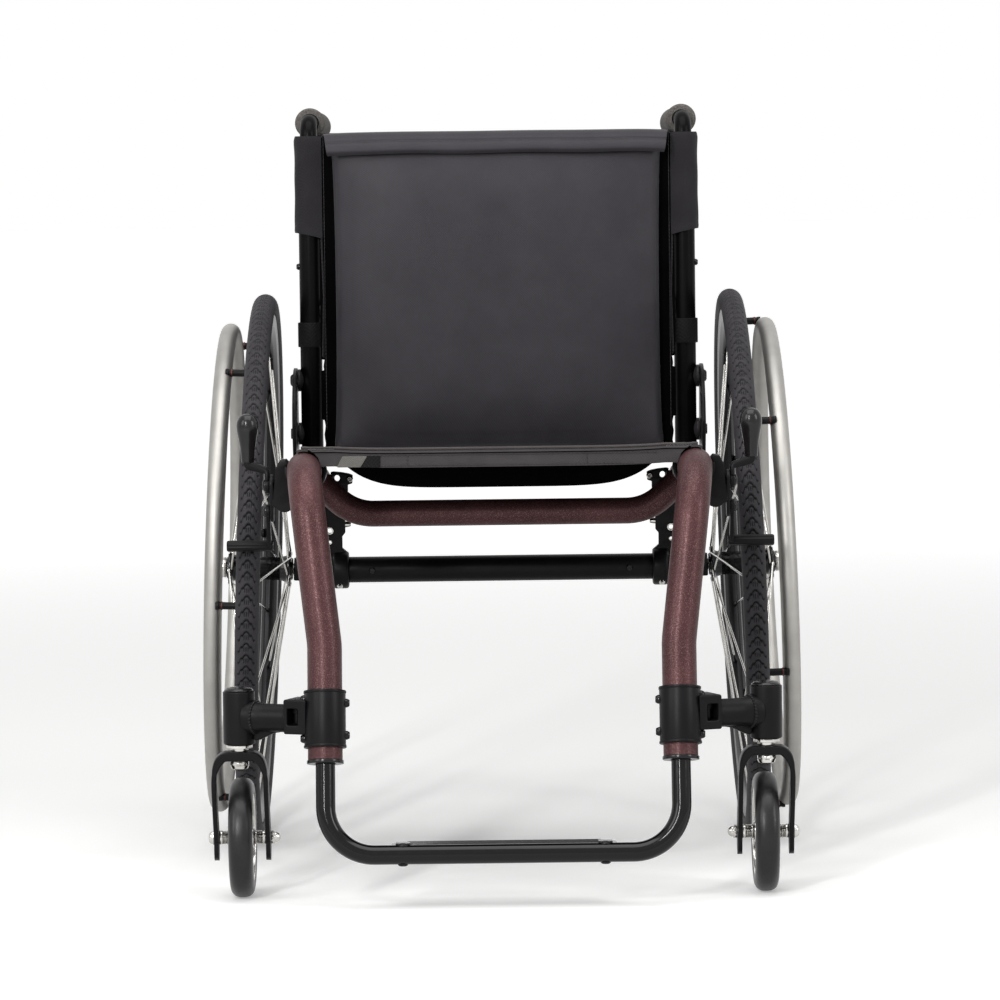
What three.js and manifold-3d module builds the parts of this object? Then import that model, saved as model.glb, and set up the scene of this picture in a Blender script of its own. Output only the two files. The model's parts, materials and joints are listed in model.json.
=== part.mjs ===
// Rigid frame active wheelchair, in millimetres, +Z up. The sitter faces -Y, and left is +X.
// Every piece is worked out with the rear axle over Y = 0 and the floor at Z = 0. The chair is then
// moved so that its origin is the middle of its footprint.
import * as THREE from "three";
import { mergeVertices } from "three/addons/utils/BufferGeometryUtils.js";
import Module from "manifold-3d";

const wasm = await Module();
wasm.setup();

// Clearances
const GAP = 0.3; // between pieces that touch
const RUNNING_GAP = 0.5; // between pieces that turn or slide on each other
const OVERRUN = 6; // how far a cutter passes the face it cuts
const BITE = 1; // how far joined shapes reach into each other

// Counts and angles
const DEG = Math.PI / 180;
const WHEEL_SIDES = 32;
const TUBE_SIDES = 10;
const TURNED_SIDES = 12;
const SMALL_SIDES = 8;
const HEX_SIDES = 6;
const BEND_STEP_DEG = 16;
const CORNER_STEPS = 4; // faces round a plate's rounded corner
const LONG_ARC_STEPS = 9;

// Width: from the chair's middle to the middle of the seat rail at its rear end. Pieces on the rails, the
// canes and the wheels take their places across the chair from it.
const FRAME_HALF = 203;

// Rear wheel, measured in its own plane
const TYRE_R = 297.5;
const TYRE_SECTION_R = 12.5;
const TYRE_WRAP_DEG = 128; // half of the arc that the tyre's section covers
const TYRE_ARC_STEPS = 6;
const CAMBER_DEG = 2;
const RIM_DEPTH = 19;
const RIM_SHOULDER_DEPTH = 15;
const RIM_WELL_HALF = 4.5;
const HANDRIM_TUBE_R = 9.5;
const HANDRIM_SIDES = 8;
const HANDRIM_INSET = 42; // from the tyre's tread to the middle of the handrim's tube
const HANDRIM_R = TYRE_R - HANDRIM_INSET;
const HANDRIM_OUT = 37; // from the wheel plane to the handrim's plane
const TAB_COUNT = 6;
const TAB_R = 4.5;
const TAB_INSET = 14; // from the rim's edge to the middle of the tab
const HUB_HALF = 36;
const HUB_END_R = 12;
const HUB_BORE_R = 7;
const HUB_FLANGE_R = 19.5;
const HUB_FLANGE_X = 32;
const HUB_FLANGE_HALF = 1.8;
const HUB_BARREL_R = 12.5;
const HUB_BARREL_HALF = 25;
const SPOKE_COUNT = 24;
const SPOKE_SIDES = 3;
const SPOKE_R = 1.1;
const SPOKE_HOLE_INSET = 3; // from the flange's edge
const SPOKE_CROSS_DEG = 52;
const SPOKE_RIM_X = 2;

// Quick-release axle and its sleeve, along the axle line
const AXLE_R = 6.2;
const AXLE_HEAD_R = 11;
const AXLE_HEAD_LENGTH = 5;
const BUTTON_R = 4.5;
const BUTTON_LENGTH = 8;
const BUTTON_PROUD = 4;
const BUTTON_TRAVEL = 3;
const SLEEVE_R = 10;
const SLEEVE_INSERT = 46; // how far the sleeve reaches into the camber tube
const SLEEVE_SHOW = 22.5; // between the ends of the camber tube and the hub
const SLEEVE_NUT_R = 14;
const SLEEVE_NUT_LENGTH = 9;

// Camber tube
const CAMBER_TUBE_R = 14;
const CAMBER_TUBE_WALL = 2.3;
const CAMBER_TUBE_HALF = FRAME_HALF;
const CAMBER_SCREW_INSET = 63.5; // from the tube's end
const SCREW_R = 3.5;
const SCREW_PROUD = 2;

// Frame tube: rail, front bend and front upright
const FRAME_R = 17.25;
const FRAME_WALL = 2;
const RAIL_REAR_Y = 90;
const RAIL_RISE = 89.7; // of the rail's rear end above the axle
const KNEE = { inset: 6.5, y: -455, rise: 45 }; // inset and rise from the rail's rear end
const FOOT_INSET = 27.2;
const FOOT_X = FRAME_HALF - FOOT_INSET;
const UPRIGHT_TOP_Z = 258; // where the front tube turns upright as seen from the front
const UPRIGHT_END_Z = 146;
const FRONT_LEAN_DEG = 12;
const KNEE_BEND_R = 70;
const UPRIGHT_BEND_R = 90;

// Seat cross tube
const CROSS_R = 13.7;
const CROSS_WALL = 2;
const CROSS_Y = -200;
const CROSS_DROP = 18.5;
const CROSS_FLAT_INSET = 49; // from the rail to the end of the tube's flat stretch
const CROSS_BEND_R = 55;

// Axle clamp, from the rail down to the camber tube
const RAIL_CLAMP_R = 21.5;
const SADDLE_RISE = 4; // how far a clamp reaches above the rail's middle, below the sling
const AXLE_CLAMP_Y = { front: -26, rear: 3 };
const WEB_THICK = 11;
const WEB_INSET = { inner: 45, waist: 38, outer: 3 }; // from the rail's middle
const WEB_INNER_X = FRAME_HALF - WEB_INSET.inner;
const WEB_WAIST_X = FRAME_HALF - WEB_INSET.waist;
const WEB_OUTER_X = FRAME_HALF - WEB_INSET.outer;
const WEB_TOP_DROP = 20; // below the rail's top
const WEB_WAIST_DROP = 37;
const CAMBER_CLAMP_R = 20;
const CAMBER_CLAMP = { inset: 21, width: 18 }; // inset from the camber tube's end
const WEB_HOLE_HIGH = { inset: 27, up: 21, r: 6 };
const WEB_HOLE_MIDDLE = { inset: 19, up: -6, r: 4.5 };
const WEB_HOLE_LOW = { inset: 19, up: -22, r: 3.5 };
const WEB_BOLT_UP = { high: 41, low: -3 };
const BOLT_R = 5;
const BOLT_PROUD = 5;

// Caster clamp, arm and housing
const STEM = { out: 59.7, y: -472 }; // out from the rail's middle
const CLAMP_R = 21;
const CLAMP_Z = 185.5;
const CLAMP_HALF = 28.5;
const CLAMP_BOLT_SPACING = 32;
const SOCKET_HALF = 17;
const SOCKET_LENGTH = 17;
const SOCKET_SLOT = { half: 7, depth: 7 };
const ARM_R = 14;
const ARM_Z = 183;
const HOUSING_R = 15;
const HOUSING_Z = { low: 158, high: 211 };
const HOUSING_DOME = 5;
const STEM_R = 5;
const STEM_TOP_Z = 198;

// Caster fork, wheel and axle
const TRAIL = 35;
const CASTER_R = 60;
const CASTER_HALF_WIDTH = 12.2;
const CASTER_RIM_R = 44;
const CASTER_SIDES = 20;
const CASTER_HUB_R = 9;
const CASTER_WEB_HALF = 5;
const CASTER_BORE_R = 5;
const FORK_HALF = 28.5;
const FORK_LEG = 5;
const FORK_TOP_Z = 151;
const FORK_CROWN = 9.5;
const FORK_SHOULDER = 26;
const FORK_HALF_DEPTH = 12;
const FORK_TIP_Z = 37;
const FORK_ARCH_Z = 112;
const FORK_TIP_FROM_DEG = 200; // where the rounding of the leg's tip starts
const STEM_COLLAR_R = 9;
const STEM_WASHER_R = 12.5;
const STEM_WASHER = 3;
const STEM_HEAD_R = 9.5;
const STEM_HEAD = 8;
const CASTER_AXLE_R = 4;
const CASTER_SPACER_R = 7;
const CASTER_NUT_R = 7;
const CASTER_NUT = 5.5;

// Footrest
const FOOTREST_R = 9.7;
const FOOTREST_WALL = 2;
const FOOTREST_Z = 57.5;
const FOOTREST_BEND_R = 48;
const FOOTREST_INSERT = 84; // length of each leg inside the upright at rest
const END_RING_R = 18.3;
const END_RING = 3.6;
const END_PLUG = 26; // length of the ring's collar inside the upright
const PLATE_INSET = 63.8; // from the legs' middle
const PLATE_HALF = FOOT_X - PLATE_INSET;
const PLATE_DEPTH = 42;
const PLATE_THICK = 5;
const PLATE_TOP_DROP = 2; // below the top of the footrest tube
const PLATE_CORNER_R = 30;
const FOOTREST_SCREW_INSET = 12; // from the plate's end

// Seat sling
const SEAT_FRONT_Y = -402;
const SEAT_REAR_Y = 8;
const SEAT_THICK = 3;
const SEAT_SAG_FRONT = 2;
const SEAT_SAG_REAR = 29;
const SEAT_HEM = 16;
const SEAT_HANG_INSET = 31; // from the rail to where the sling's hanging middle starts
const SEAT_FLATNESS = 6; // power of the sag: a higher one keeps the middle flatter
const SEAT_COLUMN_SHARES = [0, 0.35, 0.6, 0.8, 0.92, 1]; // of the hanging middle's half
const SEAT_ROWS = 7;
const SEAT_REST_DEG = 15; // where the sling leaves the rail's round top
const SEAT_OVER_RAIL_DEG = [60, 35, SEAT_REST_DEG, 5, -8]; // places on the rail's top, inboard first

// Backrest
const BACK_Y = 72; // plane of the canes
const CANE_OUT = 2;
const CANE_X = FRAME_HALF + CANE_OUT;
const CANE_R = 12;
const CANE_FOOT_RISE = 37;
const CANE_TOP_RISE = 370;
const NECK_R = 9.3;
const NECK_BEND_R = 24;
const NECK_RISE = 393.5;
const NECK_END = { toeIn: 2.4, y: 196, drop: 4 };
const GRIP_R = 15.5;
const GRIP_START = 25; // from the canes' plane
const GRIP_LENGTH = 114;
const GRIP_WALL_END = 6;
const PIVOT_RISE = 52.5;
const STOP_PIN_UP = 58.5; // stop pin above the pivot
const FOLD_DEG = 65;
const HINGE_PLATE_R = 72;
const HINGE_PLATE_THICK = 4;
const HINGE_PLATE_FOOT = { front: 14, rear: 100, drop: 13 };
const HINGE_PLATE_ARC_DEG = { from: 78, to: 178 };
const PIVOT_PIN_R = 4;
const STOP_PIN_R = 3;
const CONE_R = 12.2;
const CONE_TIP_R = 5;
const CONE_LENGTH = 9;
const PIN_HEAD_R = 7;
const PIN_HEAD = 3.5;
const PIN_INSERT = 20;
const CROSS_BAR_R = 9;
const CROSS_BAR_RISE = 188;
const CROSS_BAR_BACK = 4; // behind the canes' middle

// Back upholstery and cushion
const CLOTH_INSET = 15; // from the canes' middle
const CLOTH_HALF = CANE_X - CLOTH_INSET;
const CLOTH_THICK = 4;
const CLOTH_FRONT_Y = 57.9;
const CLOTH_LOW_RISE = 53;
const CLOTH_HIGH_RISE = 379;
const SLEEVE_CLOTH_R = 15.5;
const SLEEVE_CLOTH_RISE = { low: 268, high: 369 };
const STRAP_RISE = { low: 150, high: 174 };
const CUSHION_INSET = 22; // from the canes' middle
const CUSHION_HALF = CANE_X - CUSHION_INSET;
const CUSHION_LOW_RISE = 28;
const CUSHION_HIGH_RISE = 380;
const CUSHION_THICK = 35.5;
const CUSHION_EDGE = 17;
const CUSHION_DRAWN_IN = 3;
const CUSHION_TOP_SEAM = 19;
const CUSHION_SEAM_SHARE = 0.5; // of the swell that is left at the very top, above the seam
const CUSHION_SQUARENESS = 6; // power of the crown: a higher one keeps it flatter in the middle
const CUSHION_COLUMNS = 12;

// Wheel lock
const LOCK_AHEAD = 32.5; // of the tyre's tread
const LOCK_Y = -(TYRE_R + LOCK_AHEAD);
const LOCK_CLAMP_HALF = 15;
const LOCK_CLAMP_R = 21.5;
const LOCK_BLOCK = { proud: 15.8, below: 37.7, above: 15.3 }; // proud of the rail's side
const LOCK_PLATE = 3.5;
const LOCK_PLATE_R = 11;
const LEVER_PIVOT = { ahead: 8, below: 13.7 };
const SHOE_PIVOT = { ahead: 0, below: 40.7 };
const LEVER_THICK = 4;
const LEVER_HALF_WIDTH = 8;
const KNOB_OUT = 23; // from the lever's foot to the middle of its knob
const KNOB_UP = 24; // from the lever's pivot to the knob's lower end
const KNOB_LENGTH = 49;
const KNOB_ROD_R = 3.6;
const KNOB_R = 10.4;
const SHOE = { back: 23, down: 40, past: 19.5, heel: 1.6 }; // past the wheel's plane, inboard of its arm
const SHOE_R = 5.6;
const SHOE_ARM_HALF = 7;

// Colours, with roughness and metalness
const finish = (color, roughness, metalness) =>
  new THREE.MeshStandardMaterial({ color, roughness, metalness });
const burgundy = finish("#6b474a", 0.42, 0.6);
const blackPaint = finish("#2a282a", 0.5, 0.3);
const blackGloss = finish("#1a191b", 0.22, 0.3);
const anodised = finish("#8f8f8a", 0.38, 0.9);
const rimAlloy = finish("#3c3b3d", 0.4, 0.8);
const steel = finish("#b4b2ae", 0.28, 1);
const tyreRubber = finish("#3a383c", 0.85, 0);
const casterRubber = finish("#3a383b", 0.6, 0);
const charcoal = finish("#3d3b3f", 0.9, 0);
const foam = finish("#6f6d6a", 0.95, 0);
const plastic = finish("#242326", 0.35, 0);

// Lines and places that several pieces share
const at = (x, y, z) => new THREE.Vector3(x, y, z);
const UP = at(0, 0, 1);
const OUT = at(1, 0, 0);
const BACK = at(0, 1, 0);
const TYRE_CENTRE_R = TYRE_R - TYRE_SECTION_R;
const AXLE_Z = TYRE_CENTRE_R * Math.cos(CAMBER_DEG * DEG) + TYRE_SECTION_R;
const WHEEL_X = CAMBER_TUBE_HALF + SLEEVE_SHOW + HUB_HALF; // wheel plane at axle height
const RIM_R = TYRE_CENTRE_R + TYRE_SECTION_R * Math.cos(TYRE_WRAP_DEG * DEG) - GAP;
const RIM_HALF = TYRE_SECTION_R * Math.sin(TYRE_WRAP_DEG * DEG) - GAP;
// The axle's line meets the camber tube's line half way along the sleeve's insert.
const CROSSING_X = CAMBER_TUBE_HALF - SLEEVE_INSERT / 2;
const CAMBER_TUBE_Z = AXLE_Z - (WHEEL_X - CROSSING_X) * Math.tan(CAMBER_DEG * DEG);
const PLATE_X = FRAME_HALF + FRAME_R + GAP; // inner face of the hinge plate
const railRearZ = AXLE_Z + RAIL_RISE;
const knee = at(FRAME_HALF - KNEE.inset, KNEE.y, railRearZ + KNEE.rise);
const stem = at(FRAME_HALF + STEM.out, STEM.y, 0);
const crossZ = railRearZ - CROSS_DROP;
const webWaistZ = railRearZ - WEB_WAIST_DROP;
const caneFootZ = railRearZ + CANE_FOOT_RISE;
const caneTopZ = railRearZ + CANE_TOP_RISE;
const neckZ = railRearZ + NECK_RISE;
const pivotZ = railRearZ + PIVOT_RISE;
const crossBarZ = railRearZ + CROSS_BAR_RISE;
const clothLowZ = railRearZ + CLOTH_LOW_RISE;
const clothHighZ = railRearZ + CLOTH_HIGH_RISE;
const cushionLowZ = railRearZ + CUSHION_LOW_RISE;
const cushionHighZ = railRearZ + CUSHION_HIGH_RISE;
const neckEnd = at(CANE_X - NECK_END.toeIn, NECK_END.y, neckZ - NECK_END.drop);
const frontY = (z) => knee.y - (knee.z - z) * Math.tan(FRONT_LEAN_DEG * DEG);
const FRONT_DOWN = at(0, -Math.sin(FRONT_LEAN_DEG * DEG), -Math.cos(FRONT_LEAN_DEG * DEG));
const uprightEnd = at(FOOT_X, frontY(UPRIGHT_END_Z), UPRIGHT_END_Z);
const clampCentre = at(FOOT_X, frontY(CLAMP_Z), CLAMP_Z);

// The middle of the seat rail at a place along Y.
function railAt(y) {
  const share = (RAIL_REAR_Y - y) / (RAIL_REAR_Y - knee.y);
  const x = FRAME_HALF + (knee.x - FRAME_HALF) * share;
  return at(x, y, railRearZ + (knee.z - railRearZ) * share);
}

const mirrored = (point) => at(-point.x, point.y, point.z);

// A closed geometry as a solid, with its faces turned outwards.
function solid(geometry) {
  const bare = new THREE.BufferGeometry();
  bare.setAttribute("position", geometry.getAttribute("position"));
  bare.setIndex(geometry.index);
  const merged = mergeVertices(bare);
  const corners = merged.index.array;
  const kept = [];
  for (let i = 0; i < corners.length; i += 3) {
    const [a, b, c] = corners.slice(i, i + 3);
    if (a !== b && b !== c && c !== a) kept.push(a, b, c);
  }
  const vertProperties = merged.getAttribute("position").array;
  const made = (faces) =>
    new wasm.Manifold(
      new wasm.Mesh({ numProp: 3, vertProperties, triVerts: new Uint32Array(faces) }),
    );
  const first = made(kept);
  return first.volume() > 0 ? first : made(kept.reverse());
}

const join = (...solids) => solids.reduce((whole, piece) => whole.add(piece));
const cut = (whole, ...cutters) => cutters.reduce((rest, cutter) => rest.subtract(cutter), whole);

// A solid as a geometry with flat-shaded faces.
function geometryOf(whole) {
  const { vertProperties, triVerts } = whole.getMesh();
  const indexed = new THREE.BufferGeometry();
  indexed.setAttribute("position", new THREE.BufferAttribute(vertProperties, 3));
  indexed.setIndex(new THREE.BufferAttribute(triVerts, 1));
  const geometry = indexed.toNonIndexed();
  geometry.computeVertexNormals();
  return geometry;
}

// Turns a geometry made along +Y into the given direction and sets it down at a base point.
function place(geometry, base, direction) {
  const turn = new THREE.Quaternion().setFromUnitVectors(BACK, direction.clone().normalize());
  geometry.applyQuaternion(turn);
  geometry.translate(base.x, base.y, base.z);
  return solid(geometry);
}

// A solid of revolution: its profile holds [radius, distance along the axis] points.
function turned(profile, sides, base = at(0, 0, 0), direction = OUT) {
  const points = profile.map(([radius, along]) => new THREE.Vector2(radius, along));
  if (points[0].x > 0) points.push(points[0].clone());
  return place(new THREE.LatheGeometry(points, sides), base, direction);
}

// A round bar between two points, which may taper.
function bar(from, to, radius, sides, endRadius = radius) {
  const axis = to.clone().sub(from);
  const length = axis.length();
  const geometry = new THREE.CylinderGeometry(endRadius, radius, length, sides);
  geometry.translate(0, length / 2, 0);
  return place(geometry, from, axis);
}

// A box between two corners.
function block(low, high) {
  const size = high.clone().sub(low);
  const middle = high.clone().add(low).divideScalar(2);
  const geometry = new THREE.BoxGeometry(size.x, size.y, size.z);
  geometry.translate(middle.x, middle.y, middle.z);
  return solid(geometry);
}

// A flat plate from an outline of [across, up] points, with holes, carried along a direction.
function plate(outline, holes, thickness, across, up, start) {
  const shape = new THREE.Shape(outline.map(([u, v]) => new THREE.Vector2(u, v)));
  shape.holes = holes.map((hole) => new THREE.Path(hole.map(([u, v]) => new THREE.Vector2(u, v))));
  const geometry = new THREE.ExtrudeGeometry(shape, { depth: thickness, bevelEnabled: false });
  const through = across.clone().cross(up);
  geometry.applyMatrix4(new THREE.Matrix4().makeBasis(across, up, through));
  geometry.translate(start.x, start.y, start.z);
  return solid(geometry);
}

const sidePlate = (outline, holes, x, thickness) =>
  plate(outline, holes, thickness, BACK, UP, at(x, 0, 0));
const frontPlate = (outline, holes, y, thickness) =>
  plate(outline, holes, thickness, OUT, UP, at(0, y, 0));

// Points on an arc of [across, up] places. Angles run from +across towards +up.
function arc(u, v, radius, fromDeg, toDeg, steps) {
  return Array.from({ length: steps + 1 }, (_, i) => {
    const angle = (fromDeg + ((toDeg - fromDeg) * i) / steps) * DEG;
    return [u + radius * Math.cos(angle), v + radius * Math.sin(angle)];
  });
}

const hole = (u, v, radius, sides) => arc(u, v, radius, 0, 360 - 360 / sides, sides - 1);

// A path through given stations, each of which becomes one ring of a swept tube.
class StationPath extends THREE.Curve {
  constructor(stations) {
    super();
    this.stations = stations;
  }
  getPoint(t) {
    const last = this.stations.length - 1;
    const i = Math.min(Math.floor(t * last), last - 1);
    return this.stations[i].clone().lerp(this.stations[i + 1], t * last - i);
  }
  getPointAt(t) {
    return this.getPoint(t);
  }
  getTangentAt(t) {
    const last = this.stations.length - 1;
    const i = Math.round(t * last);
    const here = this.stations[i];
    const behind = here.clone().sub(this.stations[Math.max(i - 1, 0)]).normalize();
    const ahead = this.stations[Math.min(i + 1, last)].clone().sub(here).normalize();
    return behind.add(ahead).normalize();
  }
}

// Stations along a line through corner points, with each inner corner rounded to its bend radius.
function bent(points, bends) {
  const stations = [points[0]];
  for (let i = 1; i < points.length - 1; i++) {
    const back = points[i - 1].clone().sub(points[i]).normalize();
    const onward = points[i + 1].clone().sub(points[i]).normalize();
    const turn = Math.PI - back.angleTo(onward);
    const middle = back.clone().add(onward).normalize();
    const radius = bends[i - 1];
    const centre = points[i].clone().addScaledVector(middle, radius / Math.cos(turn / 2));
    const spoke = points[i].clone().addScaledVector(back, radius * Math.tan(turn / 2)).sub(centre);
    const axis = onward.clone().cross(back).normalize();
    const steps = Math.ceil(turn / (BEND_STEP_DEG * DEG));
    for (let k = 0; k <= steps; k++) {
      stations.push(spoke.clone().applyAxisAngle(axis, (turn * k) / steps).add(centre));
    }
  }
  stations.push(points[points.length - 1]);
  return stations;
}

// A round tube swept through stations.
function tube(stations, radius, sides = TUBE_SIDES) {
  const ring = new THREE.Shape(
    hole(0, 0, radius, sides).map(([u, v]) => new THREE.Vector2(u, v)),
  );
  const settings = { steps: stations.length - 1, extrudePath: new StationPath(stations) };
  return solid(new THREE.ExtrudeGeometry(ring, settings));
}

// The same corners with both ends carried on past the tube's ends, for its bore.
function carriedOn(corners) {
  const beyond = (end, next) => end.clone().sub(next).setLength(OVERRUN).add(end);
  const last = corners.length - 1;
  const middle = corners.slice(1, last);
  return [beyond(corners[0], corners[1]), ...middle, beyond(corners[last], corners[last - 1])];
}

// A tube with a wall and open ends, along a line through corner points.
const pipe = (corners, bends, radius, wall) =>
  cut(tube(bent(corners, bends), radius), tube(bent(carriedOn(corners), bends), radius - wall));

// A closed sheet between an upper and a lower grid of points, each given by column and row.
function sheet(columns, rows, upper, lower) {
  const positions = [];
  for (const side of [upper, lower]) {
    for (let j = 0; j <= rows; j++) {
      for (let i = 0; i <= columns; i++) positions.push(...side(i, j).toArray());
    }
  }
  const layer = (columns + 1) * (rows + 1);
  const top = (i, j) => j * (columns + 1) + i;
  const under = (i, j) => layer + top(i, j);
  const faces = [];
  const quad = (a, b, c, d) => faces.push(a, b, c, a, c, d);
  for (let j = 0; j < rows; j++) {
    for (let i = 0; i < columns; i++) {
      quad(top(i, j), top(i + 1, j), top(i + 1, j + 1), top(i, j + 1));
      quad(under(i, j), under(i, j + 1), under(i + 1, j + 1), under(i + 1, j));
    }
    quad(top(0, j), top(0, j + 1), under(0, j + 1), under(0, j));
    quad(top(columns, j + 1), top(columns, j), under(columns, j), under(columns, j + 1));
  }
  for (let i = 0; i < columns; i++) {
    quad(top(i + 1, 0), top(i, 0), under(i, 0), under(i + 1, 0));
    quad(top(i, rows), top(i + 1, rows), under(i + 1, rows), under(i, rows));
  }
  const geometry = new THREE.BufferGeometry();
  geometry.setAttribute("position", new THREE.Float32BufferAttribute(positions, 3));
  geometry.setIndex(faces);
  return solid(geometry);
}

// The chair's groups: one for each side, mirrored on the right, and a tilted one for each wheel.
const wheelchair = new THREE.Group();
const chair = new THREE.Group();
wheelchair.add(chair);
const sides = [
  ["left", 1],
  ["right", -1],
].map(([word, sign]) => {
  const still = new THREE.Group();
  still.scale.x = sign;
  const wheel = new THREE.Group();
  wheel.position.set(WHEEL_X, 0, AXLE_Z);
  wheel.rotation.y = -CAMBER_DEG * DEG;
  still.add(wheel);
  chair.add(still);
  return { word, still, wheel };
});

function meshOf(name, whole, material) {
  const mesh = new THREE.Mesh(geometryOf(whole), material.clone());
  mesh.name = name;
  return mesh;
}

const single = (name, whole, material) => chair.add(meshOf(name, whole, material));

// The same piece on both sides of the chair, or of both rear wheels.
function pair(name, whole, material, group = "still") {
  for (const side of sides) side[group].add(meshOf(`${name}_${side.word}`, whole, material));
}

// Rear wheel pieces, in the wheel's frame: +X points outboard along the axle
function buildRearWheels() {
  const tyreArc = arc(TYRE_CENTRE_R, 0, TYRE_SECTION_R, -TYRE_WRAP_DEG, TYRE_WRAP_DEG, TYRE_ARC_STEPS);
  pair("rear_tyre", turned(tyreArc, WHEEL_SIDES), tyreRubber, "wheel");

  const rimInner = RIM_R - RIM_DEPTH;
  const shoulder = RIM_R - RIM_SHOULDER_DEPTH;
  const rim = [
    [rimInner, -RIM_WELL_HALF],
    [shoulder, -RIM_HALF],
    [RIM_R, -RIM_HALF],
    [RIM_R, RIM_HALF],
    [shoulder, RIM_HALF],
    [rimInner, RIM_WELL_HALF],
  ];
  pair("rear_rim", turned(rim, WHEEL_SIDES), rimAlloy, "wheel");
  pair("rear_hub", hubWithSpokes(rimInner), steel, "wheel");
  pair("handrim", handrimWithTabs(), anodised, "wheel");
}

function hubWithSpokes(rimInner) {
  const inboard = HUB_FLANGE_X - HUB_FLANGE_HALF;
  const outboard = HUB_FLANGE_X + HUB_FLANGE_HALF;
  const half = [
    [HUB_BARREL_R, HUB_BARREL_HALF],
    [HUB_FLANGE_R, inboard],
    [HUB_FLANGE_R, outboard],
    [HUB_END_R, outboard],
    [HUB_END_R, HUB_HALF],
    [HUB_BORE_R, HUB_HALF],
  ];
  const profile = [...half.map(([r, x]) => [r, -x]).reverse(), ...half];
  const hub = turned(profile, TURNED_SIDES);
  const holeR = HUB_FLANGE_R - SPOKE_HOLE_INSET;
  const endR = rimInner * Math.cos(Math.PI / WHEEL_SIDES) - GAP;
  const spokes = Array.from({ length: SPOKE_COUNT }, (_, i) => {
    const face = i % 2 ? 1 : -1;
    const lead = Math.floor(i / 2) % 2 ? 1 : -1;
    const rimTurn = (2 * Math.PI * i) / SPOKE_COUNT;
    const hubTurn = rimTurn + lead * SPOKE_CROSS_DEG * DEG;
    // Spokes that lead sit on the flange's outer face and those that trail on its inner face.
    const hubX = face * (HUB_FLANGE_X + lead * (HUB_FLANGE_HALF - SPOKE_R / 2));
    const from = at(hubX, holeR * Math.sin(hubTurn), holeR * Math.cos(hubTurn));
    const to = at(face * SPOKE_RIM_X, endR * Math.sin(rimTurn), endR * Math.cos(rimTurn));
    return bar(from, to, SPOKE_R, SPOKE_SIDES);
  });
  return join(hub, ...spokes);
}

function handrimWithTabs() {
  const ring = turned(
    arc(HANDRIM_R, HANDRIM_OUT, HANDRIM_TUBE_R, 0, 360 - 360 / HANDRIM_SIDES, HANDRIM_SIDES - 1),
    WHEEL_SIDES,
  );
  const tabs = Array.from({ length: TAB_COUNT }, (_, i) => {
    const turn = new THREE.Matrix4().makeRotationX((2 * Math.PI * (i + 0.5)) / TAB_COUNT);
    const from = at(RIM_HALF + GAP, 0, RIM_R - TAB_INSET).applyMatrix4(turn);
    const to = at(HANDRIM_OUT, 0, RIM_R - TAB_INSET).applyMatrix4(turn);
    return bar(from, to, TAB_R, HEX_SIDES);
  });
  return join(ring, ...tabs);
}

// Quick-release axle with its button, and the sleeve that holds it
function buildAxles() {
  const headX = HUB_HALF + RUNNING_GAP;
  const faceX = headX + AXLE_HEAD_LENGTH;
  const sleeveEnd = -HUB_HALF - 2 * RUNNING_GAP;
  const sleeveStart = -(WHEEL_X - CAMBER_TUBE_HALF + SLEEVE_INSERT);
  const pocketR = BUTTON_R + RUNNING_GAP;
  const pocketEnd = faceX + BUTTON_PROUD - BUTTON_LENGTH - BUTTON_TRAVEL - RUNNING_GAP;
  const axle = [
    [0, sleeveStart],
    [AXLE_R, sleeveStart],
    [AXLE_R, headX],
    [AXLE_HEAD_R, headX],
    [AXLE_HEAD_R, faceX],
    [pocketR, faceX],
    [pocketR, pocketEnd],
    [0, pocketEnd],
  ];
  pair("wheel_axle", turned(axle, TURNED_SIDES), steel, "wheel");

  const buttonEnd = faceX + BUTTON_PROUD;
  const button = bar(at(buttonEnd - BUTTON_LENGTH, 0, 0), at(buttonEnd, 0, 0), BUTTON_R, TURNED_SIDES);
  pair("axle_button", button, blackPaint, "wheel");

  const nutStart = sleeveEnd - SLEEVE_NUT_LENGTH;
  const sleeve = join(
    bar(at(sleeveStart, 0, 0), at(sleeveEnd, 0, 0), SLEEVE_R, TURNED_SIDES),
    bar(at(nutStart, 0, 0), at(sleeveEnd, 0, 0), SLEEVE_NUT_R, HEX_SIDES),
  );
  const bore = bar(
    at(sleeveStart - OVERRUN, 0, 0),
    at(sleeveEnd + OVERRUN, 0, 0),
    AXLE_R + RUNNING_GAP,
    TURNED_SIDES,
  );
  pair("axle_sleeve", cut(sleeve, bore), blackPaint, "wheel");
}

function camberTube() {
  const end = at(CAMBER_TUBE_HALF, 0, CAMBER_TUBE_Z);
  const outer = bar(mirrored(end), end, CAMBER_TUBE_R, TURNED_SIDES);
  const past = at(CAMBER_TUBE_HALF + OVERRUN, 0, CAMBER_TUBE_Z);
  const bore = bar(mirrored(past), past, CAMBER_TUBE_R - CAMBER_TUBE_WALL, TURNED_SIDES);
  const screws = [-1, 1].map((sign) => {
    const x = sign * (CAMBER_TUBE_HALF - CAMBER_SCREW_INSET);
    const seat = at(x, -CAMBER_TUBE_R + BITE, CAMBER_TUBE_Z);
    return bar(seat, at(x, -CAMBER_TUBE_R - SCREW_PROUD, CAMBER_TUBE_Z), SCREW_R, SMALL_SIDES);
  });
  return join(cut(outer, bore), ...screws);
}

// Frame tubes
const frameCorners = [
  at(FRAME_HALF, RAIL_REAR_Y, railRearZ),
  knee,
  at(FOOT_X, frontY(UPRIGHT_TOP_Z), UPRIGHT_TOP_Z),
  uprightEnd,
];
const frameBends = [KNEE_BEND_R, UPRIGHT_BEND_R];
const frameTube = () => pipe(frameCorners, frameBends, FRAME_R, FRAME_WALL);
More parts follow.
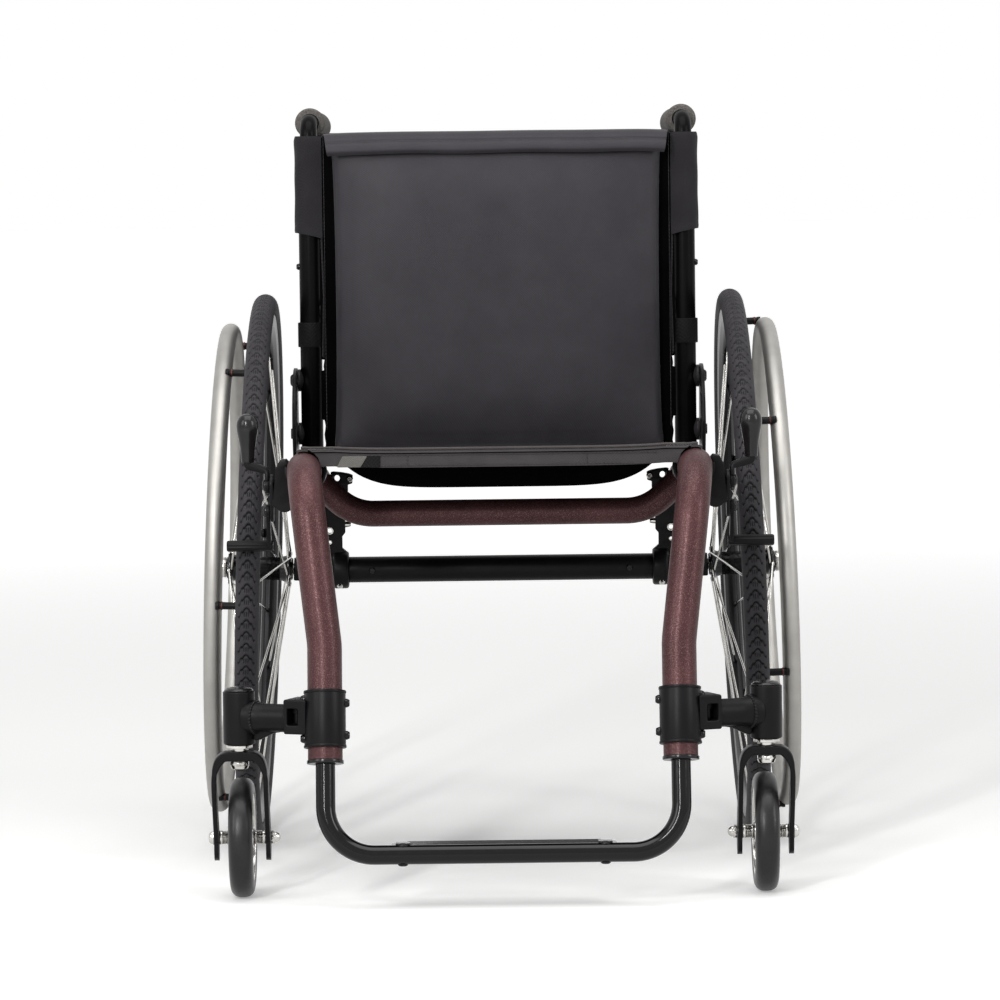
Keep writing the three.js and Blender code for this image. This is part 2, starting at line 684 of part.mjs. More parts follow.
// What clamps the frame or ends on it is cut to this room round the frame tube.
const frameRoom = tube(bent(frameCorners, frameBends), FRAME_R + GAP);
const frameRoomRight = tube(bent(frameCorners.map(mirrored), frameBends), FRAME_R + GAP);
const frameBoreR = (FRAME_R - FRAME_WALL) * Math.cos(Math.PI / TUBE_SIDES); // to the bore's flats

// A point on the upright's middle line, a distance up from its lower end.
const upUpright = (distance) => uprightEnd.clone().addScaledVector(FRONT_DOWN, -distance);

function seatCrossTube() {
  const rail = railAt(CROSS_Y);
  const corner = at(FRAME_HALF - CROSS_FLAT_INSET, CROSS_Y, crossZ);
  const corners = [rail, corner, mirrored(corner), mirrored(rail)];
  const whole = pipe(corners, [CROSS_BEND_R, CROSS_BEND_R], CROSS_R, CROSS_WALL);
  return cut(whole, frameRoom, frameRoomRight);
}

// A clamp under the rail between two places along Y, open at the top where the sling lies
function railSaddle(front, rear, radius) {
  const ring = bar(railAt(front), railAt(rear), radius, TURNED_SIDES);
  const low = at(0, front - OVERRUN, railAt(rear).z + SADDLE_RISE);
  const high = at(2 * FRAME_HALF, rear + OVERRUN, railAt(front).z + 2 * radius);
  return cut(ring, block(low, high));
}

function axleClamp() {
  const rail = railAt(0);
  const railClamp = railSaddle(AXLE_CLAMP_Y.front, AXLE_CLAMP_Y.rear, RAIL_CLAMP_R);
  const clampOuter = CAMBER_TUBE_HALF - CAMBER_CLAMP.inset;
  const clampInner = clampOuter - CAMBER_CLAMP.width;
  const webTop = rail.z + FRAME_R - WEB_TOP_DROP;
  const outline = [
    [clampInner, CAMBER_TUBE_Z],
    [clampOuter, CAMBER_TUBE_Z],
    [WEB_OUTER_X, webWaistZ],
    [WEB_OUTER_X, webTop],
    [WEB_INNER_X, webTop],
    [WEB_INNER_X, webWaistZ + WEB_THICK],
    [WEB_WAIST_X, webWaistZ],
  ];
  const webFront = -WEB_THICK / 2;
  const web = frontPlate(outline, [], -webFront, WEB_THICK);
  const holes = [WEB_HOLE_HIGH, WEB_HOLE_MIDDLE, WEB_HOLE_LOW].map(({ inset, up, r }) => {
    const x = FRAME_HALF - inset;
    const z = webWaistZ + up;
    return bar(at(x, webFront - OVERRUN, z), at(x, -webFront + OVERRUN, z), r, SMALL_SIDES);
  });
  const bolts = Object.values(WEB_BOLT_UP).map((up) => {
    const z = webWaistZ + up;
    const x = up > 0 ? WEB_INNER_X : WEB_WAIST_X;
    return bar(at(x - BOLT_PROUD, 0, z), at(x + BITE, 0, z), BOLT_R, HEX_SIDES);
  });
  const camberClamp = bar(
    at(clampInner, 0, CAMBER_TUBE_Z),
    at(clampOuter, 0, CAMBER_TUBE_Z),
    CAMBER_CLAMP_R,
    TURNED_SIDES,
  );
  const camberRoom = bar(
    at(clampInner - OVERRUN, 0, CAMBER_TUBE_Z),
    at(clampOuter + OVERRUN, 0, CAMBER_TUBE_Z),
    CAMBER_TUBE_R + GAP,
    TURNED_SIDES,
  );
  const body = cut(join(railClamp, web, camberClamp), frameRoom, camberRoom, ...holes);
  return join(body, ...bolts);
}

// Caster clamp on the upright, with the arm and housing
const armEnd = at(stem.x, stem.y, ARM_Z);
const armStart = at(FOOT_X, clampCentre.y, ARM_Z);
const armWay = armEnd.clone().sub(armStart).normalize();
const alongArm = (distance) => armStart.clone().addScaledVector(armWay, distance);

function casterClamp() {
  const low = clampCentre.clone().addScaledVector(FRONT_DOWN, CLAMP_HALF);
  const high = clampCentre.clone().addScaledVector(FRONT_DOWN, -CLAMP_HALF);
  const ring = bar(low, high, CLAMP_R, TURNED_SIDES);
  const socketEnd = CLAMP_R + SOCKET_LENGTH;
  const socket = new THREE.BoxGeometry(2 * SOCKET_HALF, socketEnd, 2 * SOCKET_HALF);
  socket.translate(0, socketEnd / 2, 0);
  const slot = new THREE.BoxGeometry(4 * SOCKET_HALF, SOCKET_SLOT.depth, 2 * SOCKET_SLOT.half);
  slot.translate(0, CLAMP_R + SOCKET_SLOT.depth, 0);
  const bolts = [-1, 1].flatMap((end) =>
    [-1, 1].map((side) => {
      const middle = clampCentre
        .clone()
        .addScaledVector(FRONT_DOWN, (end * CLAMP_BOLT_SPACING) / 2);
      const seat = middle.clone().addScaledVector(OUT, side * (CLAMP_R - BITE));
      return bar(seat, seat.clone().addScaledVector(OUT, side * BOLT_PROUD), BOLT_R, HEX_SIDES);
    }),
  );
  const whole = join(ring, place(socket, armStart, armWay), ...bolts);
  return cut(whole, frameRoom, place(slot, armStart, armWay));
}

function casterArm() {
  const arm = bar(alongArm(CLAMP_R + SOCKET_LENGTH + GAP), armEnd, ARM_R, TURNED_SIDES);
  const { low, high } = HOUSING_Z;
  const housing = turned(
    [
      [0, low],
      [HOUSING_R, low],
      [HOUSING_R, high],
      [HOUSING_R - HOUSING_DOME / 2, high + HOUSING_DOME / 2],
      [HOUSING_R / 2, high + HOUSING_DOME],
      [0, high + HOUSING_DOME],
    ],
    TURNED_SIDES,
    at(stem.x, stem.y, 0),
    UP,
  );
  const bore = bar(
    at(stem.x, stem.y, low - OVERRUN),
    at(stem.x, stem.y, STEM_TOP_Z + RUNNING_GAP),
    STEM_R + RUNNING_GAP,
    TURNED_SIDES,
  );
  return cut(join(arm, housing), bore);
}

// Caster fork, stem, wheel and axle
const casterCentre = at(stem.x, stem.y + TRAIL, CASTER_R);

function casterFork() {
  const outer = FORK_HALF;
  const inner = FORK_HALF - FORK_LEG;
  const archTop = FORK_TOP_Z - FORK_CROWN;
  const innerShoulder = FORK_SHOULDER - 3 * FORK_LEG;
  const crown = [
    [-outer, FORK_ARCH_Z],
    [-inner, FORK_ARCH_Z],
    ...arc(-inner + innerShoulder, archTop - innerShoulder, innerShoulder, 180, 90, CORNER_STEPS),
    ...arc(inner - innerShoulder, archTop - innerShoulder, innerShoulder, 90, 0, CORNER_STEPS),
    [inner, FORK_ARCH_Z],
    [outer, FORK_ARCH_Z],
    ...arc(outer - FORK_SHOULDER, FORK_TOP_Z - FORK_SHOULDER, FORK_SHOULDER, 0, 90, CORNER_STEPS),
    ...arc(FORK_SHOULDER - outer, FORK_TOP_Z - FORK_SHOULDER, FORK_SHOULDER, 90, 180, CORNER_STEPS),
  ].map(([x, z]) => [stem.x + x, z]);
  const arch = frontPlate(crown, [], stem.y + FORK_HALF_DEPTH, 2 * FORK_HALF_DEPTH);
  const tipR = casterCentre.z - FORK_TIP_Z;
  const tipZ = FORK_TIP_Z + FORK_HALF_DEPTH;
  const legTop = FORK_ARCH_Z + BITE;
  const legOutline = [
    [stem.y - FORK_HALF_DEPTH, legTop],
    ...arc(casterCentre.y, tipZ, FORK_HALF_DEPTH, FORK_TIP_FROM_DEG, 360, CORNER_STEPS),
    [casterCentre.y + FORK_HALF_DEPTH, casterCentre.z + tipR],
    [stem.y + FORK_HALF_DEPTH, legTop],
  ];
  const axleRoom = hole(casterCentre.y, casterCentre.z, CASTER_AXLE_R + GAP, TUBE_SIDES).reverse();
  const legs = [-outer, inner].map((x) =>
    sidePlate(legOutline, [axleRoom], stem.x + x, FORK_LEG),
  );
  const stemRoom = bar(
    at(stem.x, stem.y, archTop - OVERRUN),
    at(stem.x, stem.y, FORK_TOP_Z + OVERRUN),
    STEM_R + GAP,
    TURNED_SIDES,
  );
  return cut(join(arch, ...legs), stemRoom);
}

function casterStem() {
  const head = FORK_TOP_Z - FORK_CROWN - GAP;
  const collar = FORK_TOP_Z + GAP;
  const top = HOUSING_Z.low - GAP;
  const profile = [
    [0, head - STEM_HEAD],
    [STEM_HEAD_R, head - STEM_HEAD],
    [STEM_HEAD_R, head],
    [STEM_R, head],
    [STEM_R, collar],
    [STEM_COLLAR_R, collar],
    [STEM_COLLAR_R, top - STEM_WASHER],
    [STEM_WASHER_R, top - STEM_WASHER],
    [STEM_WASHER_R, top],
    [STEM_R, top],
    [STEM_R, STEM_TOP_Z],
    [0, STEM_TOP_Z],
  ];
  return turned(profile, SMALL_SIDES, at(stem.x, stem.y, 0), UP);
}

function buildCasterWheels() {
  const half = CASTER_HALF_WIDTH;
  const tyreShares = [
    [0.94, 0],
    [1, 0.5],
    [0.78, 0.82],
    [0.35, 1],
  ];
  const depth = CASTER_R - CASTER_RIM_R - GAP;
  const outerHalf = tyreShares.map(([across, out]) => [CASTER_R - depth * (1 - out), half * across]);
  const tyre = [...outerHalf, ...outerHalf.map(([r, x]) => [r, -x]).reverse()];
  pair("caster_tyre", turned(tyre, CASTER_SIDES, casterCentre), casterRubber);

  const edge = half * tyreShares[0][0] - GAP;
  const lip = CASTER_RIM_R - FORK_LEG;
  const rimHalf = [
    [CASTER_RIM_R, edge],
    [lip, edge],
    [lip, CASTER_WEB_HALF],
    [CASTER_HUB_R, CASTER_WEB_HALF],
    [CASTER_HUB_R, edge],
    [CASTER_BORE_R, edge],
  ];
  const wheel = [...rimHalf, ...rimHalf.map(([r, x]) => [r, -x]).reverse()];
  pair("caster_wheel", turned(wheel, CASTER_SIDES, casterCentre), steel);

  const spacerStart = edge + RUNNING_GAP;
  const legInner = FORK_HALF - FORK_LEG - GAP;
  const legOuter = FORK_HALF + GAP;
  const axleHalf = [
    [CASTER_AXLE_R, spacerStart],
    [CASTER_SPACER_R, spacerStart],
    [CASTER_SPACER_R, legInner],
    [CASTER_AXLE_R, legInner],
    [CASTER_AXLE_R, legOuter],
    [CASTER_NUT_R, legOuter],
    [CASTER_NUT_R, legOuter + CASTER_NUT],
    [0, legOuter + CASTER_NUT],
  ];
  const axle = [...axleHalf.map(([r, x]) => [r, -x]).reverse(), ...axleHalf];
  pair("caster_axle", turned(axle, SMALL_SIDES, casterCentre), steel);
}

// Footrest
const footCorner = at(FOOT_X, frontY(FOOTREST_Z), FOOTREST_Z);

function endRing() {
  const lowest = upUpright(-GAP - END_RING);
  const collar = bar(lowest, upUpright(END_PLUG), frameBoreR - GAP, TURNED_SIDES);
  const lip = bar(lowest, upUpright(-GAP), END_RING_R, TURNED_SIDES);
  const room = bar(
    upUpright(-END_RING - OVERRUN),
    upUpright(END_PLUG + OVERRUN),
    FOOTREST_R + RUNNING_GAP + GAP,
    TURNED_SIDES,
  );
  return cut(join(collar, lip), room);
}

function footrestTube() {
  const top = upUpright(FOOTREST_INSERT);
  const corners = [top, footCorner, mirrored(footCorner), mirrored(top)];
  const bends = [FOOTREST_BEND_R, FOOTREST_BEND_R];
  const screws = [-1, 1].map((sign) => {
    const reach = FOOTREST_R + SCREW_PROUD;
    const x = sign * (PLATE_HALF - FOOTREST_SCREW_INSET);
    const low = at(x, footCorner.y, FOOTREST_Z - reach);
    return bar(low, at(x, footCorner.y, FOOTREST_Z + reach), BOLT_R, SMALL_SIDES);
  });
  return join(pipe(corners, bends, FOOTREST_R, FOOTREST_WALL), ...screws);
}

function footPlate() {
  const front = footCorner.y;
  const rear = front + PLATE_DEPTH;
  const corner = PLATE_HALF - PLATE_CORNER_R;
  const outline = [
    [-PLATE_HALF, front],
    [PLATE_HALF, front],
    ...arc(corner, rear - PLATE_CORNER_R, PLATE_CORNER_R, 0, 90, CORNER_STEPS),
    ...arc(-corner, rear - PLATE_CORNER_R, PLATE_CORNER_R, 90, 180, CORNER_STEPS),
  ];
  const low = FOOTREST_Z + FOOTREST_R - PLATE_TOP_DROP - PLATE_THICK;
  const whole = plate(outline, [], PLATE_THICK, OUT, BACK, at(0, 0, low));
  const past = at(PLATE_HALF + OVERRUN, front, FOOTREST_Z);
  const seat = bar(mirrored(past), past, FOOTREST_R + GAP + GAP / 2, TURNED_SIDES);
  const frontCut = block(
    at(-PLATE_HALF - OVERRUN, front - OVERRUN, low - OVERRUN),
    at(PLATE_HALF + OVERRUN, front + BITE, low + PLATE_THICK + OVERRUN),
  );
  return cut(whole, seat, frontCut);
}

// Seat sling: it lies on the rails' round tops and its middle hangs between them with a flat bottom
function seatSling() {
  const reach = FRAME_R + GAP + GAP / 2;
  const half = [];
  for (const share of SEAT_COLUMN_SHARES) half.push({ share });
  half.push({ inner: true });
  for (const deg of SEAT_OVER_RAIL_DEG) half.push({ deg });
  const columns = [...half.slice(1).reverse().map((place) => ({ ...place, sign: -1 }))];
  for (const place of half) columns.push({ ...place, sign: 1 });

  // The underside at a column, as its distance from the middle and its height
  function under(column, y) {
    const rail = railAt(y);
    const along = (SEAT_REAR_Y - y) / (SEAT_REAR_Y - SEAT_FRONT_Y);
    const sag = SEAT_SAG_REAR + (SEAT_SAG_FRONT - SEAT_SAG_REAR) * along;
    const hangX = rail.x - SEAT_HANG_INSET;
    const innerX = column.inner ? rail.x - reach : hangX * column.share;
    const x = column.deg === undefined ? innerX : rail.x - reach * Math.sin(column.deg * DEG);
    const restZ = rail.z + reach * Math.cos(SEAT_REST_DEG * DEG);
    const onRail = column.deg !== undefined && column.deg <= SEAT_REST_DEG;
    const z = onRail
      ? rail.z + reach * Math.cos(column.deg * DEG)
      : restZ - sag * Math.max(0, 1 - (x / hangX) ** SEAT_FLATNESS);
    const rise = Math.max(0, reach ** 2 - (x - rail.x) ** 2);
    const railTop = column.inner || column.deg !== undefined ? rail.z + Math.sqrt(rise) : 0;
    return { x: column.sign * x, z, railTop };
  }
  const rowY = (row) =>
    SEAT_FRONT_Y + ((SEAT_REAR_Y - SEAT_FRONT_Y) * Math.max(row - 1, 0)) / SEAT_ROWS;
  const point = (lift) => (i, row) => {
    const y = rowY(row);
    const { x, z, railTop } = under(columns[i], y);
    if (row > 1) return at(x, y, z + lift);
    const forward = y - lift;
    if (row === 1) return at(x, forward, z + lift);
    return at(x, forward, Math.max(z - SEAT_HEM, railTop));
  };
  return sheet(columns.length - 1, SEAT_ROWS + 1, point(SEAT_THICK), point(0));
}

// Backrest
const caneRoom = (extra) =>
  bar(
    at(CANE_X, BACK_Y, caneFootZ - OVERRUN),
    at(CANE_X, BACK_Y, caneTopZ + OVERRUN),
    CANE_R + extra,
    TURNED_SIDES,
  );
const caneRoomRight = () =>
  bar(
    at(-CANE_X, BACK_Y, caneFootZ - OVERRUN),
    at(-CANE_X, BACK_Y, caneTopZ + OVERRUN),
    CANE_R + GAP,
    TURNED_SIDES,
  );

function hingePlate() {
  const { front, rear, drop } = HINGE_PLATE_FOOT;
  const foot = railRearZ - drop;
  const { from, to } = HINGE_PLATE_ARC_DEG;
  const topArc = arc(BACK_Y, pivotZ, HINGE_PLATE_R, from, to, LONG_ARC_STEPS);
  const outline = [[front, foot], [rear, foot], [rear, pivotZ], ...topArc];
  const halfSlot = STOP_PIN_R + RUNNING_GAP;
  const pinDeg = (halfSlot + GAP) / STOP_PIN_UP / DEG;
  const slotFrom = 90 - pinDeg;
  const slotTo = 90 + FOLD_DEG + pinDeg;
  const slot = [
    ...arc(BACK_Y, pivotZ, STOP_PIN_UP + halfSlot, slotFrom, slotTo, LONG_ARC_STEPS),
    ...arc(BACK_Y, pivotZ, STOP_PIN_UP - halfSlot, slotTo, slotFrom, LONG_ARC_STEPS),
  ].reverse();
  const pivotHole = hole(BACK_Y, pivotZ, PIVOT_PIN_R + RUNNING_GAP, TUBE_SIDES).reverse();
  const body = sidePlate(outline, [slot, pivotHole], PLATE_X, HINGE_PLATE_THICK);
  const bolts = [front, rear].map((y, i) => {
    const inward = (i ? -1 : 1) * PIN_HEAD_R * 2;
    const seat = at(PLATE_X + HINGE_PLATE_THICK - BITE, y + inward, railAt(y + inward).z);
    return bar(seat, seat.clone().addScaledVector(OUT, BITE + PIN_HEAD), PIN_HEAD_R, HEX_SIDES);
  });
  return join(body, ...bolts);
}

// A pin from the cane through the hinge plate, with the cone that spaces them apart
function hingePin(z, radius) {
  const coneBase = PLATE_X - RUNNING_GAP;
  const cone = bar(
    at(coneBase - CONE_LENGTH, BACK_Y, z),
    at(coneBase, BACK_Y, z),
    CONE_TIP_R,
    TUBE_SIDES,
    CONE_R,
  );
  const headStart = PLATE_X + HINGE_PLATE_THICK + RUNNING_GAP;
  const shankStart = at(PLATE_X - PIN_INSERT, BACK_Y, z);
  const shank = bar(shankStart, at(headStart + BITE, BACK_Y, z), radius, SMALL_SIDES);
  const head = bar(
    at(headStart, BACK_Y, z),
    at(headStart + PIN_HEAD, BACK_Y, z),
    PIN_HEAD_R,
    SMALL_SIDES,
    PIN_HEAD_R / 2,
  );
  return join(cut(cone, caneRoom(GAP)), shank, head);
}

const neckPath = bent(
  [
    at(CANE_X, BACK_Y, caneFootZ),
    at(CANE_X, BACK_Y, neckZ),
    neckEnd,
  ],
  [NECK_BEND_R],
);

function backCane() {
  const lower = bar(at(CANE_X, BACK_Y, caneFootZ), at(CANE_X, BACK_Y, caneTopZ), CANE_R, TURNED_SIDES);
  const pinHoles = [
    [pivotZ, PIVOT_PIN_R],
    [pivotZ + STOP_PIN_UP, STOP_PIN_R],
  ].map(([z, radius]) =>
    bar(
      at(PLATE_X - PIN_INSERT - GAP, BACK_Y, z),
      at(CANE_X + CANE_R + OVERRUN, BACK_Y, z),
      radius + GAP,
      SMALL_SIDES,
    ),
  );
  return cut(join(lower, tube(neckPath, NECK_R)), ...pinHoles);
}

function pushGrip() {
  const corner = at(CANE_X, BACK_Y, neckZ);
  const way = neckEnd.clone().sub(corner).normalize();
  const boreR = NECK_R + RUNNING_GAP + GAP;
  const boreEnd = neckEnd.distanceTo(corner) - GRIP_START + GAP;
  const round = GRIP_WALL_END / 2;
  const profile = [
    [boreR, 0],
    [GRIP_R - round, 0],
    [GRIP_R, round],
    [GRIP_R, GRIP_LENGTH - GRIP_WALL_END],
    [GRIP_R - round, GRIP_LENGTH - round / 2],
    [GRIP_R / 2, GRIP_LENGTH],
    [0, GRIP_LENGTH],
    [0, boreEnd],
    [boreR, boreEnd],
  ];
  // The profile meets the axis half way round, so it is turned to start there.
  const turnedProfile = [...profile.slice(7), ...profile.slice(0, 7)];
  return turned(turnedProfile, TURNED_SIDES, corner.addScaledVector(way, GRIP_START), way);
}

function backCrossBar() {
  const end = at(CANE_X, BACK_Y + CROSS_BAR_BACK, crossBarZ);
  return cut(bar(mirrored(end), end, CROSS_BAR_R, TUBE_SIDES), caneRoom(GAP), caneRoomRight());
}

function backUpholstery() {
  const rearY = CLOTH_FRONT_Y + CLOTH_THICK;
  const panel = block(at(-CLOTH_HALF, CLOTH_FRONT_Y, clothLowZ), at(CLOTH_HALF, rearY, clothHighZ));
  const wraps = [SLEEVE_CLOTH_RISE, STRAP_RISE].flatMap((rise) => {
    const low = railRearZ + rise.low;
    const high = railRearZ + rise.high;
    const round = (x) => bar(at(x, BACK_Y, low), at(x, BACK_Y, high), SLEEVE_CLOTH_R, TURNED_SIDES);
    const flat = block(at(-CANE_X, CLOTH_FRONT_Y, low), at(CANE_X, rearY, high));
    return [flat, round(-CANE_X), round(CANE_X)];
  });
  return cut(join(panel, ...wraps), caneRoom(GAP), caneRoomRight());
}

// Back cushion: a flat back and a crowned front, thin at its edges, with a slope below its top seam
function backCushion() {
  const rearY = CLOTH_FRONT_Y - GAP;
  const midZ = (cushionLowZ + cushionHighZ) / 2;
  const halfZ = (cushionHighZ - cushionLowZ) / 2;
  const spread = (k) => Math.sin((Math.PI / 2) * ((2 * k) / CUSHION_COLUMNS - 1));
  const crown = (share) => Math.cbrt(1 - Math.abs(share) ** CUSHION_SQUARENESS);
  const seamShare = (2 * CUSHION_TOP_SEAM) / (cushionHighZ - cushionLowZ);
  const surface = (isFront) => (i, j) => {
    const across = spread(i);
    const up = spread(j);
    const halfX = CUSHION_HALF - CUSHION_DRAWN_IN * (1 - up ** 2);
    const z = midZ + (halfZ - CUSHION_DRAWN_IN * (1 - across ** 2)) * up;
    if (!isFront) return at(halfX * across, rearY, z);
    const slope = Math.min(1, (1 - up) / seamShare + CUSHION_SEAM_SHARE);
    const swell = (CUSHION_THICK - CUSHION_EDGE) * crown(across) * crown(up) * slope;
    return at(halfX * across, rearY - CUSHION_EDGE - swell, z);
  };
  return sheet(CUSHION_COLUMNS, CUSHION_COLUMNS, surface(true), surface(false));
}

// Wheel lock
const lockRail = railAt(LOCK_Y);
const lockPivot = ({ ahead, below }) => at(0, LOCK_Y - ahead, lockRail.z - below);
const leverPivot = lockPivot(LEVER_PIVOT);
const shoePivot = lockPivot(SHOE_PIVOT);
const knobZ = leverPivot.z + KNOB_UP;
const lockOuter = lockRail.x + FRAME_R + LOCK_BLOCK.proud;
const lockLayer = lockOuter + LOCK_PLATE + RUNNING_GAP; // inner face of the lever and of the shoe's arm
const knobX = lockLayer + KNOB_OUT;

function lockClamp() {
  const front = LOCK_Y - LOCK_CLAMP_HALF;
  const rear = LOCK_Y + LOCK_CLAMP_HALF;
  const ring = railSaddle(front, rear, LOCK_CLAMP_R);
  const low = lockRail.z - LOCK_BLOCK.below;
  const high = lockRail.z + LOCK_BLOCK.above;
  const body = block(at(lockRail.x, front, low), at(lockOuter, rear, high));
  const outline = [
    ...arc(leverPivot.y, leverPivot.z, LOCK_PLATE_R, 0, 180, CORNER_STEPS),
    ...arc(shoePivot.y, shoePivot.z, LOCK_PLATE_R, 180, 360, CORNER_STEPS),
  ];
  const mount = sidePlate(outline, [], lockOuter - BITE, LOCK_PLATE + BITE);
  const face = lockOuter + LOCK_PLATE;
  const pins = [leverPivot, shoePivot].map(({ y, z }) =>
    bar(at(face - BITE, y, z), at(face + LEVER_THICK + 2 * RUNNING_GAP, y, z), BOLT_R - BITE, SMALL_SIDES),
  );
  const heads = [leverPivot, shoePivot].map(({ y, z }) => {
    const headX = face + LEVER_THICK + 2 * RUNNING_GAP;
    return bar(at(headX - GAP, y, z), at(headX + SCREW_PROUD, y, z), BOLT_R + BITE, SMALL_SIDES);
  });
  return cut(join(ring, body, mount, ...pins, ...heads), frameRoom);
}

const lockPinRoom = ({ y, z }) =>
  bar(
    at(lockLayer - OVERRUN, y, z),
    at(lockLayer + LEVER_THICK + OVERRUN, y, z),
    BOLT_R - BITE + RUNNING_GAP,
    TUBE_SIDES,
  );

function lockLever() {
  const { y, z } = leverPivot;
  const foot = bar(at(lockLayer, y, z), at(lockLayer + LEVER_THICK, y, z), LEVER_HALF_WIDTH, TURNED_SIDES);
  const elbowZ = knobZ - LEVER_HALF_WIDTH;
  const middleX = lockLayer + LEVER_THICK / 2;
  const outline = [
    [lockLayer, z],
    [lockLayer + LEVER_THICK, z],
    [lockLayer + LEVER_THICK, elbowZ - LEVER_THICK / 2],
    [knobX + LEVER_THICK / 2, knobZ - LEVER_THICK],
    [knobX + LEVER_THICK / 2, knobZ + LEVER_THICK],
    [knobX - LEVER_THICK / 2, knobZ + LEVER_THICK],
    [knobX - LEVER_THICK, knobZ - LEVER_THICK / 2],
    [middleX - LEVER_THICK / 2, elbowZ + LEVER_THICK / 2],
  ];
  const strap = frontPlate(outline, [], y + LEVER_HALF_WIDTH, 2 * LEVER_HALF_WIDTH);
  const knobRoom = block(
    at(knobX - LEVER_THICK * 2, y - LEVER_HALF_WIDTH - OVERRUN, knobZ - GAP),
    at(knobX + LEVER_THICK * 2, y + LEVER_HALF_WIDTH + OVERRUN, knobZ + OVERRUN),
  );
  const rod = bar(
    at(knobX, y, knobZ - LEVER_THICK),
    at(knobX, y, knobZ + KNOB_LENGTH / 2),
    KNOB_ROD_R,
    TUBE_SIDES,
  );
  return join(cut(join(foot, strap), lockPinRoom(leverPivot), knobRoom), rod);
}

function lockKnob() {
  const height = KNOB_LENGTH;
  const pearShares = [
    [0.56, 0],
    [0.66, 0.14],
    [0.9, 0.45],
    [1, 0.68],
    [0.9, 0.86],
    [0.55, 0.97],
  ];
  const roomR = KNOB_ROD_R + GAP + GAP;
  const roomTop = height / 2 + GAP;
  const profile = [
    [0, roomTop],
    [roomR, roomTop],
    [roomR, 0],
    ...pearShares.map(([out, up]) => [KNOB_R * out, height * up]),
    [0, height],
  ];
  return turned(profile, TUBE_SIDES, at(knobX, leverPivot.y, knobZ), UP);
}

function lockShoe() {
  const { y, z } = shoePivot;
  const eye = bar(at(lockLayer, y, z), at(lockLayer + LEVER_THICK, y, z), SHOE_ARM_HALF, TURNED_SIDES);
  const end = at(0, y + SHOE.back, z - SHOE.down);
  const way = at(0, SHOE.back, -SHOE.down).normalize();
  const side = at(0, -way.z, way.y).multiplyScalar(SHOE_ARM_HALF);
  const outline = [
    [y + side.y, z + side.z],
    [y - side.y, z - side.z],
    [end.y - side.y, end.z - side.z],
    [end.y + side.y, end.z + side.z],
  ];
  const arm = sidePlate(outline, [], lockLayer, LEVER_THICK);
  const shoe = bar(
    at(lockLayer - SHOE.heel, end.y, end.z),
    at(WHEEL_X + SHOE.past, end.y, end.z),
    SHOE_R,
    TURNED_SIDES,
  );
  return cut(join(eye, arm, shoe), lockPinRoom(shoePivot));
}

buildRearWheels();
buildAxles();
single("camber_tube", camberTube(), blackPaint);
pair("frame_tube", frameTube(), burgundy);
single("seat_cross_tube", seatCrossTube(), burgundy);
pair("axle_clamp", axleClamp(), blackPaint);
pair("caster_clamp", casterClamp(), blackPaint);
pair("caster_arm", casterArm(), blackPaint);
pair("caster_fork", casterFork(), blackPaint);
pair("caster_stem", casterStem(), steel);
buildCasterWheels();
pair("upright_end_ring", endRing(), blackPaint);
single("footrest_tube", footrestTube(), blackGloss);
single("foot_plate", footPlate(), blackGloss);
single("seat_sling", seatSling(), charcoal);
pair("back_hinge_plate", hingePlate(), blackPaint);
pair("back_pivot_pin", hingePin(pivotZ, PIVOT_PIN_R), blackPaint);
pair("back_stop_pin", hingePin(pivotZ + STOP_PIN_UP, STOP_PIN_R), blackPaint);
pair("back_cane", backCane(), blackGloss);
pair("push_grip", pushGrip(), foam);
single("back_cross_bar", backCrossBar(), blackGloss);
single("back_upholstery", backUpholstery(), charcoal);
single("back_cushion", backCushion(), charcoal);
pair("lock_clamp", lockClamp(), blackPaint);
pair("lock_lever", lockLever(), blackPaint);
pair("lock_knob", lockKnob(), plastic);
pair("lock_shoe", lockShoe(), blackPaint);

// The origin is the middle of the chair's footprint, on the floor.
const bounds = new THREE.Box3().setFromObject(chair, true);
chair.position.set(
  -(bounds.min.x + bounds.max.x) / 2,
  -(bounds.min.y + bounds.max.y) / 2,
  -bounds.min.z,
);

export default wheelchair;
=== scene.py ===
# Finishes, fine shapes and soft goods of a rigid frame active wheelchair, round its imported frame.
# Shapes are worked out in millimetres, with Y = 0 over the rear axle and X to the sitter's left;
# piece() sets them down in metres in the frame's own place.
import json
import math

import bmesh
import bpy
import numpy as np
from mathutils import Matrix, Vector


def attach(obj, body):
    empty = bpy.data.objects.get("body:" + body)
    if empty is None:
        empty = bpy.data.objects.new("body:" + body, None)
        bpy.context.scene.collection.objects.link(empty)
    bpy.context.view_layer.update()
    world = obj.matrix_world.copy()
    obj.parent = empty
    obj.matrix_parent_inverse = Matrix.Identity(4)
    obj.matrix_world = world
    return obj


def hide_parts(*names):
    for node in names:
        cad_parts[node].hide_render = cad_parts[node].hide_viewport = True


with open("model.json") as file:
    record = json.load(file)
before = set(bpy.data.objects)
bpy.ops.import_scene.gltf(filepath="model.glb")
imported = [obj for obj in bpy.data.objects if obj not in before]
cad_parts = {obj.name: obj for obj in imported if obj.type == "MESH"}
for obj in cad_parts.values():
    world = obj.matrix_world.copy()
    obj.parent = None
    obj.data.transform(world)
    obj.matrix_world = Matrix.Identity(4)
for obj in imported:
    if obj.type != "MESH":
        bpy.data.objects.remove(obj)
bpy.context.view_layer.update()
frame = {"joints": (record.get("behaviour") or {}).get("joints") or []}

MM = 0.001
DEG = math.pi / 180
JOINTS = {joint["name"]: joint for joint in frame["joints"]}
AXLE_Y = JOINTS["rear_wheel_left_spin"]["pos_m"][1]


